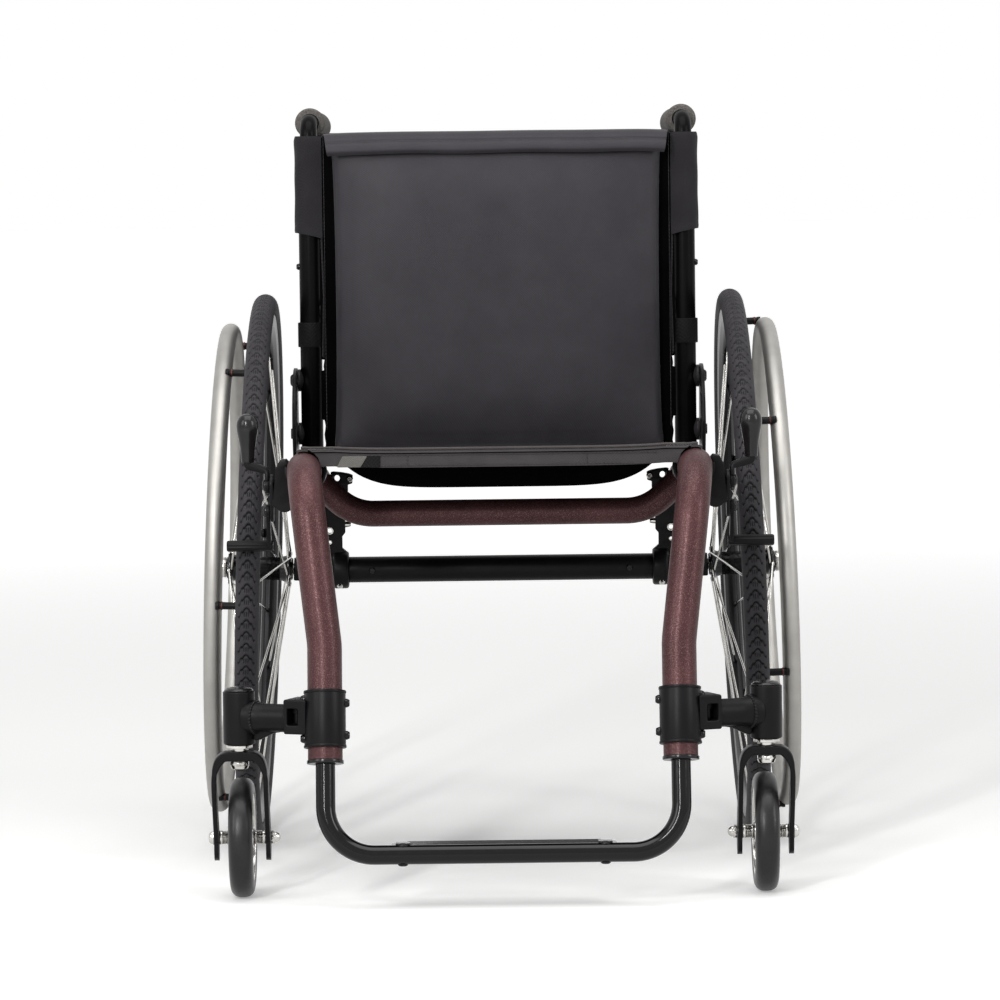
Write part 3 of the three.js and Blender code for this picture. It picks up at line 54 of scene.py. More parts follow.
def joint_at(name):
    """A joint's point in the shapes' own millimetres, with Y = 0 over the rear axle."""
    x, y, z = JOINTS[name]["pos_m"]
    return np.array([x / MM, (y - AXLE_Y) / MM, z / MM])


# Places that come from the frame's own joints
HUB = joint_at("rear_wheel_left_spin")
CAMBER = math.asin(JOINTS["rear_wheel_left_spin"]["axis"][2])
STEM = joint_at("caster_left_swivel")
CASTER = joint_at("caster_wheel_left_spin")
PIVOT = joint_at("backrest_fold")
LEVER_PIVOT = joint_at("lock_lever_left_turn")
SHOE_PIVOT = joint_at("lock_shoe_left_turn")
BACK_Y, PIVOT_Z = PIVOT[1], PIVOT[2]
GAP = 0.3  # between pieces that touch

# Frame tubes
FRAME_R = 17.25
FRAME_WALL = 2
RAIL_REAR = np.array([203, 90, HUB[2] + 89.7])
KNEE = np.array([196.5, -455, RAIL_REAR[2] + 45])
FOOT_X = 175.8
UPRIGHT_TOP_Z = 258
UPRIGHT_END_Z = 146
FRONT_LEAN = 12 * DEG
KNEE_BEND_R = 70
UPRIGHT_BEND_R = 90
CROSS_R = 13.7
CROSS_Y = -200
CROSS_Z = RAIL_REAR[2] - 18.5
CROSS_FLAT_HALF = 154
CROSS_BEND_R = 55
CAMBER_TUBE_R = 14
CAMBER_TUBE_HALF = 203
CAMBER_TUBE_Z = HUB[2] - 81.5 * math.tan(CAMBER)

# Rear wheel
TYRE_CENTRE_R = 285
TYRE_SECTION_R = 12.5
TYRE_WRAP = 128 * DEG
TREAD_PITCHES = 150
TREAD_SAMPLES = 12  # along each pitch
RIM_R = TYRE_CENTRE_R + TYRE_SECTION_R * math.cos(TYRE_WRAP) - GAP
RIM_HALF = TYRE_SECTION_R * math.sin(TYRE_WRAP) - GAP
RIM_DEPTH = 19
HANDRIM_R = 255.5
HANDRIM_TUBE_R = 9.5
HANDRIM_OUT = 37
TAB_INSET = 14
TABS = 6
FIRST_POST_LEFT, FIRST_POST_RIGHT = 51.6, 34.2  # degrees from the wheel's top
SPOKES = 24
SPOKE_R = 1.1
FLANGE_R = 19.5
FLANGE_X = 32

# Casters and footrest
CLAMP_Z = 185.5
ARM_Z = 185.5
ARM_R = 14
HOUSING_R = 16
HOUSING_LOW = 158
HOUSING_HIGH = 211
FORK_TOP_Z = 151
FORK_CROWN = 9.5
FORK_X = 26  # from the stem to the middle of each leg
FORK_THICK = 5
FORK_WIDE = 24
FORK_TIP_Z = 37
CASTER_R = 60
CASTER_RIM_R = 44
CASTER_HALF = 12.2
FOOTREST_R = 9.7
FOOTREST_Z = 53.5
PLATE_HALF = 112
SCREW_X = 100  # the foot plate's screws, from the middle

# Seat and backrest
SEAT_FRONT_Y = -402
SEAT_REAR_Y = 8
SEAT_SAG_FRONT = 2
SEAT_SAG_REAR = 29
SEAT_THICK = 3
SEAT_HEM = 16
HEM_BEND_R = 2.5
SEAT_REACH = FRAME_R + 1.5 * GAP
CANE_X = 205
CANE_R = 12
CANE_FOOT_Z = RAIL_REAR[2] + 37
CANE_TOP_Z = RAIL_REAR[2] + 370
CANE_BUTTON_Z = 622.6
NECK_R = 9.3
NECK_Z = RAIL_REAR[2] + 393.5
NECK_END = np.array([200.6, 196, NECK_Z - 4])
HINGE_X = RAIL_REAR[0] + FRAME_R + GAP  # inner face of the hinge plate
STOP_PIN_UP = 58.5
CLOTH_Y = 58.8
CLOTH_LOW_Z = RAIL_REAR[2] + 53
CLOTH_HIGH_Z = RAIL_REAR[2] + 379
BACK_CLOTH_HALF = 194.2
BACK_OPEN_HALF = 190.8  # where the cloth isn't laced to the canes
LACE_GAPS = ((400, 455), (509, 521))  # heights of these stretches
STRAP_HEIGHTS = (470, 520, 612, 668, 722)
SLEEVE_LOW_Z = 657
SLEEVE_HIGH_Z = 765
STRAP_Z = 548
PAD_REAR_Y = 57.6
PAD_HALF = 183
PAD_LOW_Z = RAIL_REAR[2] + 28
PAD_HIGH_Z = RAIL_REAR[2] + 380
PAD_THICK = 35.5
PAD_SEAM_Z = 758.4

# Wheel lock
LOCK_Y = -330
LOCK_OUTER_X = 231.04
LOCK_LAYER_X = 235.04
LOCK_LAYER = 4  # thickness of the lever's eye and of the shoe's arm
KNOB_X = 256.6
KNOB_Z = 432

X_AXIS = np.array([1.0, 0, 0])
Y_AXIS = np.array([0, 1.0, 0])
Z_AXIS = np.array([0, 0, 1.0])
FLIP = np.array([-1.0, 1, 1])
FRONT_DOWN = np.array([0, -math.sin(FRONT_LEAN), -math.cos(FRONT_LEAN)])
FRONT_NORMAL = np.array([0, -math.cos(FRONT_LEAN), math.sin(FRONT_LEAN)])


def front_y(z):
    """Y of the leaning front tubes' middle line at a height."""
    return KNEE[1] - (KNEE[2] - z) * math.tan(FRONT_LEAN)


def rail_at(y):
    """A point, or a row of points, on the seat rail's middle line."""
    share = (RAIL_REAR[1] - np.asarray(y, float)) / (RAIL_REAR[1] - KNEE[1])
    return RAIL_REAR + (KNEE - RAIL_REAR) * share[..., None]


# Shapes: each is (points, faces), a whole array of points and an array of four-cornered faces

def unit(vectors):
    """Each vector divided by its length."""
    vectors = np.asarray(vectors, float)
    return vectors / np.maximum(np.linalg.norm(vectors, axis=-1, keepdims=True), 1e-9)


def basis(axis):
    """Three unit vectors as rows: two across the axis, then the axis itself."""
    w = unit(axis)
    u = unit(np.cross(w, Z_AXIS if abs(w[2]) < 0.9 else X_AXIS))
    return np.array([u, np.cross(w, u), w])


def rounded(corners, radius, steps=6, closed=False):
    """A line through corner points, with each corner turned into an arc of the given radius.

    The arc's middle lies on the bisector of the corner at radius / cos(turn / 2), and its points are
    the middle plus radius times (side sin a - bisector cos a), for a from -turn / 2 to turn / 2.
    """
    corners = np.asarray(corners, float)
    radii = np.broadcast_to(radius, len(corners))
    parts = []
    for i, corner in enumerate(corners):
        if not closed and i in (0, len(corners) - 1):
            parts.append(corner[None])
            continue
        before = corners[i - 1] - corner
        after = corners[(i + 1) % len(corners)] - corner
        back, onward = unit(before), unit(after)
        half = (np.pi - np.arccos(np.clip(back @ onward, -1, 1))) / 2
        if half < 1e-3 or radii[i] == 0:
            parts.append(corner[None])
            continue
        reach = min(radii[i] * np.tan(half), 0.49 * min(np.linalg.norm(before), np.linalg.norm(after)))
        r = reach / np.tan(half)
        bisector, side = unit(back + onward), unit(onward - back)
        angle = np.linspace(-half, half, steps + 1)[:, None]
        middle = corner + bisector * r / np.cos(half)
        parts.append(middle + r * (side * np.sin(angle) - bisector * np.cos(angle)))
    return np.concatenate(parts)


def smooth(points, steps=8, closed=False):
    """A Catmull-Rom curve through points. Between b and c, with neighbours a and d, it is half of
    2 b + (c - a) t + (2 a - 5 b + 4 c - d) t^2 + (3 b - a - 3 c + d) t^3."""
    p = np.asarray(points, float)
    ends = (p[-1:], p[:2]) if closed else (2 * p[:1] - p[1:2], 2 * p[-1:] - p[-2:-1])
    p = np.concatenate([ends[0], p, ends[1]])
    t = np.linspace(0, 1, steps, endpoint=False)[None, :, None]
    a, b, c, d = (p[i:len(p) - 3 + i, None] for i in range(4))
    curve = 2 * b + (c - a) * t + (2 * a - 5 * b + 4 * c - d) * t ** 2 + (3 * b - a - 3 * c + d) * t ** 3
    curve = curve.reshape(-1, p.shape[1]) / 2
    return curve if closed else np.concatenate([curve, p[-2:-1]])


def evenly(path, pitch):
    """Points on a path at even distances of about one pitch."""
    lengths = np.concatenate([[0], np.cumsum(np.linalg.norm(np.diff(path, axis=0), axis=1))])
    places = np.linspace(0, lengths[-1], max(3, int(lengths[-1] / pitch)))
    return np.column_stack([np.interp(places, lengths, column) for column in np.asarray(path).T])


def grid(points, closed_u=False, closed_v=False):
    """Faces between neighbouring points of a (rows, columns, 3) array, which may close on itself."""
    rows, columns = points.shape[:2]
    i = np.arange(rows if closed_u else rows - 1)[:, None]
    j = np.arange(columns if closed_v else columns - 1)[None]
    ahead, beside = (i + 1) % rows, (j + 1) % columns
    corners = [i * columns + j, i * columns + beside, ahead * columns + beside, ahead * columns + j]
    return points.reshape(-1, 3), np.stack(np.broadcast_arrays(*corners), -1).reshape(-1, 4)


def slab(upper, lower):
    """The closed body between two sheets of points that have the same rows and columns."""
    rings = np.concatenate([upper, lower[:, ::-1]], 1)
    middle = (upper + lower) / 2
    ends = np.concatenate([middle, middle[:, ::-1]], 1)
    return grid(np.concatenate([ends[:1], rings, ends[-1:]]), False, True)


def shell(points, thick):
    """A sheet with a thickness, half of it to each side along the surface's own normal."""
    normal = unit(np.cross(np.gradient(points, axis=0), np.gradient(points, axis=1)))
    return slab(points + normal * thick / 2, points - normal * thick / 2)


def lathe(profile, base=(0, 0, 0), axis=X_AXIS, sides=48, bevel=0, closed=False):
    """Surface of revolution: a profile point (radius, along) goes round as
    base + along w + radius (u cos t + v sin t). A third number of 1 makes the round a hexagon, whose
    radius is radius cos 30 / cos(t mod 60 - 30)."""
    profile = np.asarray(profile, float)
    if bevel:
        profile = rounded(profile, bevel, 3, closed)
    u, v, w = basis(axis)
    t = np.linspace(0, 2 * np.pi, sides, endpoint=False)
    ring = np.outer(np.cos(t), u) + np.outer(np.sin(t), v)
    radius = profile[:, 0, None] * np.ones(sides)
    if profile.shape[1] == 3:
        hexagon = np.cos(30 * DEG) / np.cos(t % (60 * DEG) - 30 * DEG)
        radius = radius * (1 + profile[:, 2, None] * (hexagon - 1))
    points = np.asarray(base) + radius[..., None] * ring + (profile[:, 1, None] * w)[:, None]
    return grid(points, closed, True)


def sweep(path, radius, across=X_AXIS, sides=28, wall=0, section=None, closed=False):
    """A section carried along a path: each ring is p + a s u + b t v, with (s, t) round the unit circle
    or a given section, and (a, b) the radius there. With T the path's tangent, v is T x across made
    unit and u = v x T. With a wall the tube comes back along its inside; otherwise its ends close."""
    path = np.asarray(path, float)
    radius = np.asarray(radius, float)
    size = np.broadcast_to(radius[:, None] if radius.ndim == 1 else radius, (len(path), 2))
    tangent = np.roll(path, -1, 0) - np.roll(path, 1, 0) if closed else np.gradient(path, axis=0)
    v = unit(np.cross(tangent, across))
    u = unit(np.cross(v, tangent))
    if section is None:
        t = np.linspace(0, 2 * np.pi, sides, endpoint=False)
        section = np.stack([np.cos(t), np.sin(t)], 1)

    def rings(scale):
        return (path[:, None] + (scale[:, 0, None] * section[:, 0])[..., None] * u[:, None]
                + (scale[:, 1, None] * section[:, 1])[..., None] * v[:, None])

    if closed:
        return grid(rings(size), True, True)
    if wall:
        return grid(np.concatenate([rings(size), rings(size - wall)[::-1]]), True, True)
    ends = [np.broadcast_to(path[k], (1, len(section), 3)) for k in (0, -1)]
    return grid(np.concatenate([ends[0], rings(size), ends[1]]), False, True)


def band(width, thick, edge=0.45):
    """The section of a flat strap: a rectangle whose corners are rounded by a share of its thickness."""
    a, b = width / 2, thick / 2
    return rounded([(-a, -b), (a, -b), (a, b), (-a, b)], edge * thick, 3, True)


def bar(start, end, radius, sides=28, bevel=0.5):
    """Round bar between two points, with its two rims rounded."""
    length = np.linalg.norm(np.subtract(end, start))
    profile = [(0, 0), (radius, 0), (radius, length), (0, length)]
    return lathe(profile, start, np.subtract(end, start), sides, bevel)


def pipe(start, end, radius, bore, sides=48, bevel=0.5):
    """Round tube between two points, with its rims rounded inside and out."""
    length = np.linalg.norm(np.subtract(end, start))
    profile = [(bore, 0), (radius, 0), (radius, length), (bore, length)]
    return lathe(profile, start, np.subtract(end, start), sides, bevel, True)


def cap_screw(base, axis, radius, height, socket=0.5):
    """Domed screw head with a hexagonal socket: the dome is (r cos a, h sin a), cut flat at its top."""
    a = np.linspace(0, 50, 6) * DEG
    dome = np.column_stack([radius * np.cos(a), height * np.sin(a) / np.sin(50 * DEG), 0 * a])
    inner = [(socket * radius, height, 1), (socket * radius, 0.3 * height, 1), (0, 0.3 * height, 1)]
    return lathe(np.concatenate([[(0, -0.5, 0), (radius, -0.5, 0)], dome, inner]), base, axis, 24)


def hex_nut(base, axis, radius, height):
    """Hexagonal nut whose corners are turned down to the circle that its flats touch."""
    flat = 0.87 * radius
    profile = [(0, 0, 0), (flat, 0, 0), (radius, 0.14 * height, 1), (radius, 0.86 * height, 1),
               (flat, height, 0), (0, height, 0)]
    return lathe(profile, base, axis, 36)


def weld(start, way, bar_r, tube_point, tube_way, tube_r, size=2.0, ripple=2.6):
    """A rippled bead where a round bar runs into a round tube. A point of the bar is
    start + s w + r (u cos t + v sin t), and s is the first root of the quadratic that puts the part of
    it square to the tube's line at the tube's radius. The bead's radius is size (1 + 0.16 cos n t)."""
    u, v, w = basis(way)
    beads = int(2 * np.pi * bar_r / ripple)
    t = np.linspace(0, 2 * np.pi, 6 * beads, endpoint=False)[:, None]
    rim = start + bar_r * (u * np.cos(t) + v * np.sin(t)) - tube_point
    line = unit(tube_way)
    flat = rim - (rim @ line)[:, None] * line
    step = w - (w @ line) * line
    a, b, c = step @ step, flat @ step, (flat ** 2).sum(1) - tube_r ** 2
    s = (-b - np.sqrt(np.maximum(b * b - a * c, 0))) / a
    path = rim + s[:, None] * w + tube_point
    return sweep(path, size * (1 + 0.16 * np.cos(beads * t[:, 0])), w, 8, closed=True)


def stitches(path, lift, pitch=4.0, thread=0.45):
    """A seam's thread, which comes up between needle holes: its middle is the path plus
    lift (1.1 sin^2(pi s / pitch) - 0.6) at a distance s along it."""
    points = evenly(path, pitch / 8)
    s = np.linspace(0, (len(points) - 1) / 8, len(points))
    rise = 1.1 * np.sin(np.pi * s) ** 2 - 0.6
    return sweep(points + rise[:, None] * unit(lift) * thread * 1.6, thread, lift, 6)


def plate(outline, thickness, across, up, centre, holes=(), bevel=0.4):
    """Flat plate: a filled outline of (across, up) places less its holes, thickened evenly to both
    sides of its plane, with rounded edges."""
    curve = bpy.data.curves.new("outline", "CURVE")
    curve.dimensions = "2D"
    curve.fill_mode = "BOTH"
    curve.extrude = thickness / 2 - bevel
    curve.bevel_depth = bevel
    curve.bevel_resolution = 2
    curve.offset = -bevel
    for ring in (outline, *holes):
        ring = np.asarray(ring, float)
        spline = curve.splines.new("POLY")
        spline.points.add(len(ring) - 1)
        rows = np.column_stack([ring, np.zeros(len(ring)), np.ones(len(ring))])
        spline.points.foreach_set("co", rows.ravel())
        spline.use_cyclic_u = True
    holder = bpy.data.objects.new("outline", curve)
    mesh = bpy.data.meshes.new_from_object(holder)
    flat = coordinates(mesh)
    faces = [tuple(face.vertices) for face in mesh.polygons]
    bpy.data.objects.remove(holder)
    bpy.data.curves.remove(curve)
    bpy.data.meshes.remove(mesh)
    directions = np.array([across, up, np.cross(across, up)])
    return flat @ directions + np.asarray(centre), faces


def box_ring(u_low, v_low, u_high, v_high):
    """The four corners of an upright rectangle in a plate's plane."""
    return [(u_low, v_low), (u_high, v_low), (u_high, v_high), (u_low, v_high)]


def circle(u, v, radius, steps=24, tall=1.0):
    """Points round a circle, or an ellipse, in a plate's plane."""
    t = np.linspace(0, 2 * np.pi, steps, endpoint=False)
    return np.column_stack([u + radius * np.cos(t), v + radius * tall * np.sin(t)])


def arc(u, v, radius, start, end, steps=12):
    """Points on an arc in a plate's plane, between two angles in degrees."""
    t = np.linspace(start, end, steps + 1) * DEG
    return np.column_stack([u + radius * np.cos(t), v + radius * np.sin(t)])


def in_wheel(shape):
    """From the wheel's own place, where X is its axle, to the cambered left wheel's."""
    c, s = math.cos(CAMBER), math.sin(CAMBER)
    return shape[0] @ np.array([[c, 0, -s], [0, 1, 0], [s, 0, c]]).T + HUB, shape[1]


# Objects

def clean_mesh(name, points, faces):
    """A mesh whose points that lie together are merged, and whose faces look outwards."""
    mesh = bpy.data.meshes.new(name)
    mesh.from_pydata(points.tolist(), [], faces)
    work = bmesh.new()
    work.from_mesh(mesh)
    bmesh.ops.remove_doubles(work, verts=work.verts, dist=2e-6)
    bmesh.ops.recalc_face_normals(work, faces=work.faces)
    work.to_mesh(mesh)
    work.free()
    return mesh


def coordinates(mesh):
    """A mesh's points as an array of rows."""
    flat = np.empty(len(mesh.vertices) * 3, np.float32)
    mesh.vertices.foreach_get("co", flat)
    return flat.reshape(-1, 3)


def piece(name, shapes, finish, body, slot, *nodes, side=1, sharp_deg=38):
    """One object from shapes: merged where they close on themselves, facing out, and set down."""
    points = np.concatenate([np.asarray(shape[0], float) for shape in shapes])
    points = points * [side * MM, MM, MM] + [0, AXLE_Y, 0]
    faces, start = [], 0
    for shape in shapes:
        rows = shape[1]
        if isinstance(rows, np.ndarray):
            faces += (rows + start).tolist()
        else:
            faces += [[corner + start for corner in row] for row in rows]
        start += len(shape[0])
    mesh = clean_mesh(name, points, faces)
    mesh.shade_smooth()
    mesh.set_sharp_from_angle(angle=sharp_deg * DEG)
    mesh.materials.append(finish)
    made = bpy.data.objects.new(name, mesh)
    bpy.context.scene.collection.objects.link(made)
    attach(made, body)
    if nodes:
        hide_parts(*nodes)
    return made


def pair(name, shapes, finish, body, slot, *nodes, **settings):
    """The same piece on the left and, mirrored, on the right. {} in a name stands for the side."""
    made = []
    for word, side in (("left", 1), ("right", -1)):
        named = [node.format(word) for node in nodes]
        made.append(piece(f"{name}_{word}", shapes, finish, body.format(word), slot, *named,
                          side=side, **settings))
    return made


# Materials

def linear(code):
    """An sRGB hex colour as linear red, green, blue and alpha."""
    parts = [int(code[i:i + 2], 16) / 255 for i in (1, 3, 5)]
    return [*(p / 12.92 if p <= 0.04045 else ((p + 0.055) / 1.055) ** 2.4 for p in parts), 1]


def wire(tree, target, value):
    """Gives a socket its value: another socket, an sRGB hex colour, or numbers."""
    if isinstance(value, bpy.types.NodeSocket):
        tree.links.new(value, target)
    else:
        target.default_value = linear(value) if isinstance(value, str) else value


def add(tree, kind, inputs, output=0, **settings):
    """Adds a node with its settings and links, and gives one of its outputs."""
    made = tree.nodes.new("ShaderNode" + kind)
    for key, value in settings.items():
        setattr(made, key, value)
    for key, value in inputs.items():
        wire(tree, made.inputs[key], value)
    return made.outputs[output]


def material(name, sockets):
    """A new material, its tree, its main shader's inputs, and the object's own coordinates in metres."""
    made = bpy.data.materials.new(name)
    made.use_nodes = True
    tree = made.node_tree
    surface = tree.nodes["Principled BSDF"].inputs
    for key, value in sockets.items():
        wire(tree, surface[key], value)
    return made, tree, surface, add(tree, "TexCoord", {}, "Object")


def white_rays(tree):
    """1 for the rays that see the surroundings as white: camera, glossy and transmission rays."""
    ways = [add(tree, "LightPath", {}, way)
            for way in ("Is Camera Ray", "Is Glossy Ray", "Is Transmission Ray")]
    seen = add(tree, "Math", {0: ways[0], 1: ways[1]}, operation="MAXIMUM")
    return add(tree, "Math", {0: seen, 1: ways[2]}, operation="MAXIMUM")


def metallic_powder_coat(name, base, dark, light):
    """Metallic powder coat: a soft orange-peel skin with fine bright flakes under it, half glossy. The
    flakes are drawn at 0.5 mm, several times their real size, so that they show as a fine sparkle."""
    sockets = {"Metallic": 0.35, "Coat Weight": 0.03, "Coat Roughness": 0.25, "Specular IOR Level": 0.12}
    made, tree, surface, place = material(name, sockets)
    cloud = add(tree, "TexNoise", {"Vector": place, "Scale": 1 / (60 * MM), "Detail": 2})
    cloud = add(tree, "MapRange", {"Value": cloud, "From Min": 0.3, "From Max": 0.7})
    flake = add(tree, "TexVoronoi", {"Vector": place, "Scale": 1 / (0.5 * MM)}, "Color")
    flake = add(tree, "SeparateColor", {"Color": flake}, "Red")
    bright = add(tree, "MapRange", {"Value": flake, "From Min": 0.7, "From Max": 1.0})
    body = add(tree, "Mix", {0: cloud, 6: dark, 7: base}, 2, data_type="RGBA")
    wire(tree, surface["Base Color"], add(tree, "Mix", {0: bright, 6: body, 7: light}, 2, data_type="RGBA"))
    wire(tree, surface["Roughness"],
         add(tree, "MapRange", {"Value": bright, "To Min": 0.42, "To Max": 0.3}))
    peel = add(tree, "TexNoise", {"Vector": place, "Scale": 1 / (4 * MM), "Detail": 2})
    wire(tree, surface["Normal"], add(tree, "Bump", {"Height": peel, "Distance": 0.02 * MM}))
    return made


def satin_coat(name, base, dark, roughness=0.45, grain_mm=0.9, depth_mm=0.03, metallic=0.0, specular=0.5):
    """Powder or anodised coat without flakes: even, with a fine grain that only softens its gloss."""
    made, tree, surface, place = material(name, {"Metallic": metallic, "Specular IOR Level": specular})
    cloud = add(tree, "TexNoise", {"Vector": place, "Scale": 1 / (25 * MM), "Detail": 2})
    cloud = add(tree, "MapRange", {"Value": cloud, "From Min": 0.35, "From Max": 0.65})
    wire(tree, surface["Base Color"], add(tree, "Mix", {0: cloud, 6: dark, 7: base}, 2, data_type="RGBA"))
    grain = add(tree, "TexNoise", {"Vector": place, "Scale": 1 / (grain_mm * MM), "Detail": 2})
    wire(tree, surface["Roughness"],
         add(tree, "MapRange", {"Value": grain, "From Min": 0.3, "From Max": 0.7,
                                "To Min": roughness - 0.05, "To Max": roughness + 0.05}))
    wire(tree, surface["Normal"], add(tree, "Bump", {"Height": grain, "Distance": depth_mm * MM}))
    return made


def rubber(name, base, dark, roughness, specular, paint_groove_shade=False):
    """Moulded rubber: matte, a little blotchy with bloom, with a fine pebbled skin, and where it has
    grooves, darker in them: painted shade for the shade that falls in the grooves."""
    made, tree, surface, place = material(name, {"Specular IOR Level": specular})
    bloom = add(tree, "TexNoise", {"Vector": place, "Scale": 1 / (18 * MM), "Detail": 4})
    bloom = add(tree, "MapRange", {"Value": bloom, "From Min": 0.35, "From Max": 0.7})
    colour = add(tree, "Mix", {0: bloom, 6: dark, 7: base}, 2, data_type="RGBA")
    if paint_groove_shade:
        # Darkens the colour by each point's share of groove: painted shade in the tread's grooves.
        groove = add(tree, "Attribute", {}, "Fac", attribute_name="groove")
        colour = add(tree, "Mix", {0: groove, 6: colour, 7: "#070607"}, 2, data_type="RGBA")
    wire(tree, surface["Base Color"], colour)
    skin = add(tree, "TexNoise", {"Vector": place, "Scale": 1 / (0.8 * MM), "Detail": 3})
    wire(tree, surface["Roughness"],
         add(tree, "MapRange", {"Value": skin, "From Min": 0.3, "From Max": 0.7,
                                "To Min": roughness - 0.1, "To Max": roughness + 0.05}))
    wire(tree, surface["Normal"], add(tree, "Bump", {"Height": skin, "Distance": 0.06 * MM}))
    return made


def woven(name, base, dark, pitch_mm, depth_mm, roughness, sheen, specular=0.15):
    """Plain weave: threads run along x + 0.7 y and z + 0.7 y, and their height is the product of the
    two sines, so that warp and weft take turns on top. The threads' pitch is drawn about three times
    its real size so that it shows."""
    made, tree, surface, place = material(name, {"Sheen Weight": sheen, "Sheen Roughness": 0.4,
                                                 "Specular IOR Level": specular})
    waves = []
    for way in ((1, 0.7, 0), (0, 0.7, 1)):
        line = add(tree, "VectorMath", {0: place, 1: way}, "Value", operation="DOT_PRODUCT")
        turns = add(tree, "Math", {0: line, 1: math.pi / (pitch_mm * MM)}, operation="MULTIPLY")
        waves.append(add(tree, "Math", {0: turns}, operation="SINE"))
    height = add(tree, "Math", {0: waves[0], 1: waves[1]}, operation="MULTIPLY")
    shade = add(tree, "TexNoise", {"Vector": place, "Scale": 1 / (40 * MM), "Detail": 5, "Roughness": 0.6})
    mixed = add(tree, "Math", {0: height, 1: 0.12, 2: shade}, operation="MULTIPLY_ADD")
    mixed = add(tree, "MapRange", {"Value": mixed, "From Min": 0.2, "From Max": 0.8})
    wire(tree, surface["Base Color"], add(tree, "Mix", {0: mixed, 6: dark, 7: base}, 2, data_type="RGBA"))
    wire(tree, surface["Roughness"],
         add(tree, "MapRange", {"Value": height, "From Min": -1, "To Min": roughness + 0.08,
                                "To Max": roughness - 0.06}))
    wire(tree, surface["Normal"], add(tree, "Bump", {"Height": height, "Distance": depth_mm * MM}))
    return made


def foam(name, base, dark, light):
    """Skinned foam grip: matte, with open cells of about 1.5 mm and a few pale specks."""
    made, tree, surface, place = material(name, {"Specular IOR Level": 0.25, "Roughness": 0.9})
    cell = add(tree, "TexVoronoi", {"Vector": place, "Scale": 1 / (1.5 * MM)}, "Distance")
    cell = add(tree, "MapRange", {"Value": cell, "From Min": 0.05, "From Max": 0.5})
    speck = add(tree, "TexNoise", {"Vector": place, "Scale": 1 / (1.2 * MM), "Detail": 1})
    speck = add(tree, "MapRange", {"Value": speck, "From Min": 0.62, "From Max": 0.72})
    body = add(tree, "Mix", {0: cell, 6: dark, 7: base}, 2, data_type="RGBA")
    wire(tree, surface["Base Color"], add(tree, "Mix", {0: speck, 6: body, 7: light}, 2, data_type="RGBA"))
    wire(tree, surface["Normal"], add(tree, "Bump", {"Height": cell, "Distance": 0.25 * MM}))
    return made


FRAME_PAINT = metallic_powder_coat("burgundy_metallic_powder_coat", "#4B2F31", "#3D2628", "#6E5250")
BLACK_COAT = satin_coat("black_powder_coated_aluminium", "#100F11", "#0D0C0E", 0.38, specular=0.12)
BLACK_GLOSS = satin_coat("gloss_black_enamel", "#090809", "#070607", 0.12, 3.0, 0.01, specular=0.25)
CANE_BLACK = satin_coat("black_anodised_aluminium_tube", "#0B0A0B", "#080708", 0.3, 0.6, 0.01, specular=0.06)
DARK_NYLON = satin_coat("moulded_dark_nylon", "#2A282A", "#232123", 0.4, 0.9, 0.02, specular=0.15)
HANDRIM_METAL = satin_coat("bead_blasted_anodised_aluminium", "#A3A19D", "#9C9A96", 0.5, 0.5, 0.01, 1.0)
RIM_METAL = satin_coat("black_anodised_aluminium_rim", "#1D1C1E", "#19181A", 0.3, 0.7, 0.01, 0.4, 0.2)
STEEL = satin_coat("polished_stainless_steel", "#CFCDC9", "#B5B3AF", 0.16, 0.6, 0.01, 1.0)
POLISHED_ALLOY = satin_coat("polished_cast_aluminium", "#D9D8D5", "#C2C1BE", 0.2, 0.8, 0.02, 1.0)
COPPER_COAT = satin_coat("copper_anodised_aluminium", "#4E302C", "#442A26", 0.35, 0.6, 0.01, 0.9)
TYRE_RUBBER = rubber("moulded_tyre_rubber", "#302E31", "#262427", 0.7, 0.25, True)
CASTER_RUBBER = rubber("cast_polyurethane_tyre", "#1B1A1B", "#161516", 0.36, 0.3)
HANDLE_PLASTIC = satin_coat("moulded_nylon_plastic", "#151416", "#111012", 0.2, 1.2, 0.02, specular=0.3)
PAD_CLOTH = woven("coated_nylon_taffeta", "#363438", "#2D2B2F", 1.3, 0.03, 0.48, 0.05)
BACK_CLOTH = woven("heavy_nylon_upholstery_cloth", "#252326", "#1C1A1D", 1.6, 0.08, 0.75, 0.08)
SEAT_CLOTH = woven("ballistic_nylon_seat_cloth", "#434041", "#353233", 1.5, 0.07, 0.7, 0.12)
# Near-black cloth that stands for shade, not a lining: painted shade on the seat's underside, in the gap
# under its front piping and on the back sheet behind the pad.
PAINTED_SHADE_CLOTH = woven("black_nylon_painted_shade", "#0B0A0B", "#070607", 2.0, 0.1, 0.8, 0.0, 0.0)
WEBBING = woven("nylon_webbing", "#151415", "#0F0E10", 2.0, 0.15, 0.65, 0.03, 0.1)
HOOK_TAPE = woven("hook_and_loop_tape", "#6C6A66", "#575552", 1.2, 0.15, 0.9, 0.15)
EDGE_TAPE = woven("bound_edge_tape", "#4C4747", "#3E3A3A", 1.0, 0.1, 0.7, 0.1)
THREAD = woven("bonded_polyester_thread", "#403E40", "#333133", 0.8, 0.05, 0.6, 0.05)
GRIP_FOAM = foam("closed_cell_foam_grip", "#5B5855", "#3E3B39", "#85817C")


# Rear wheels

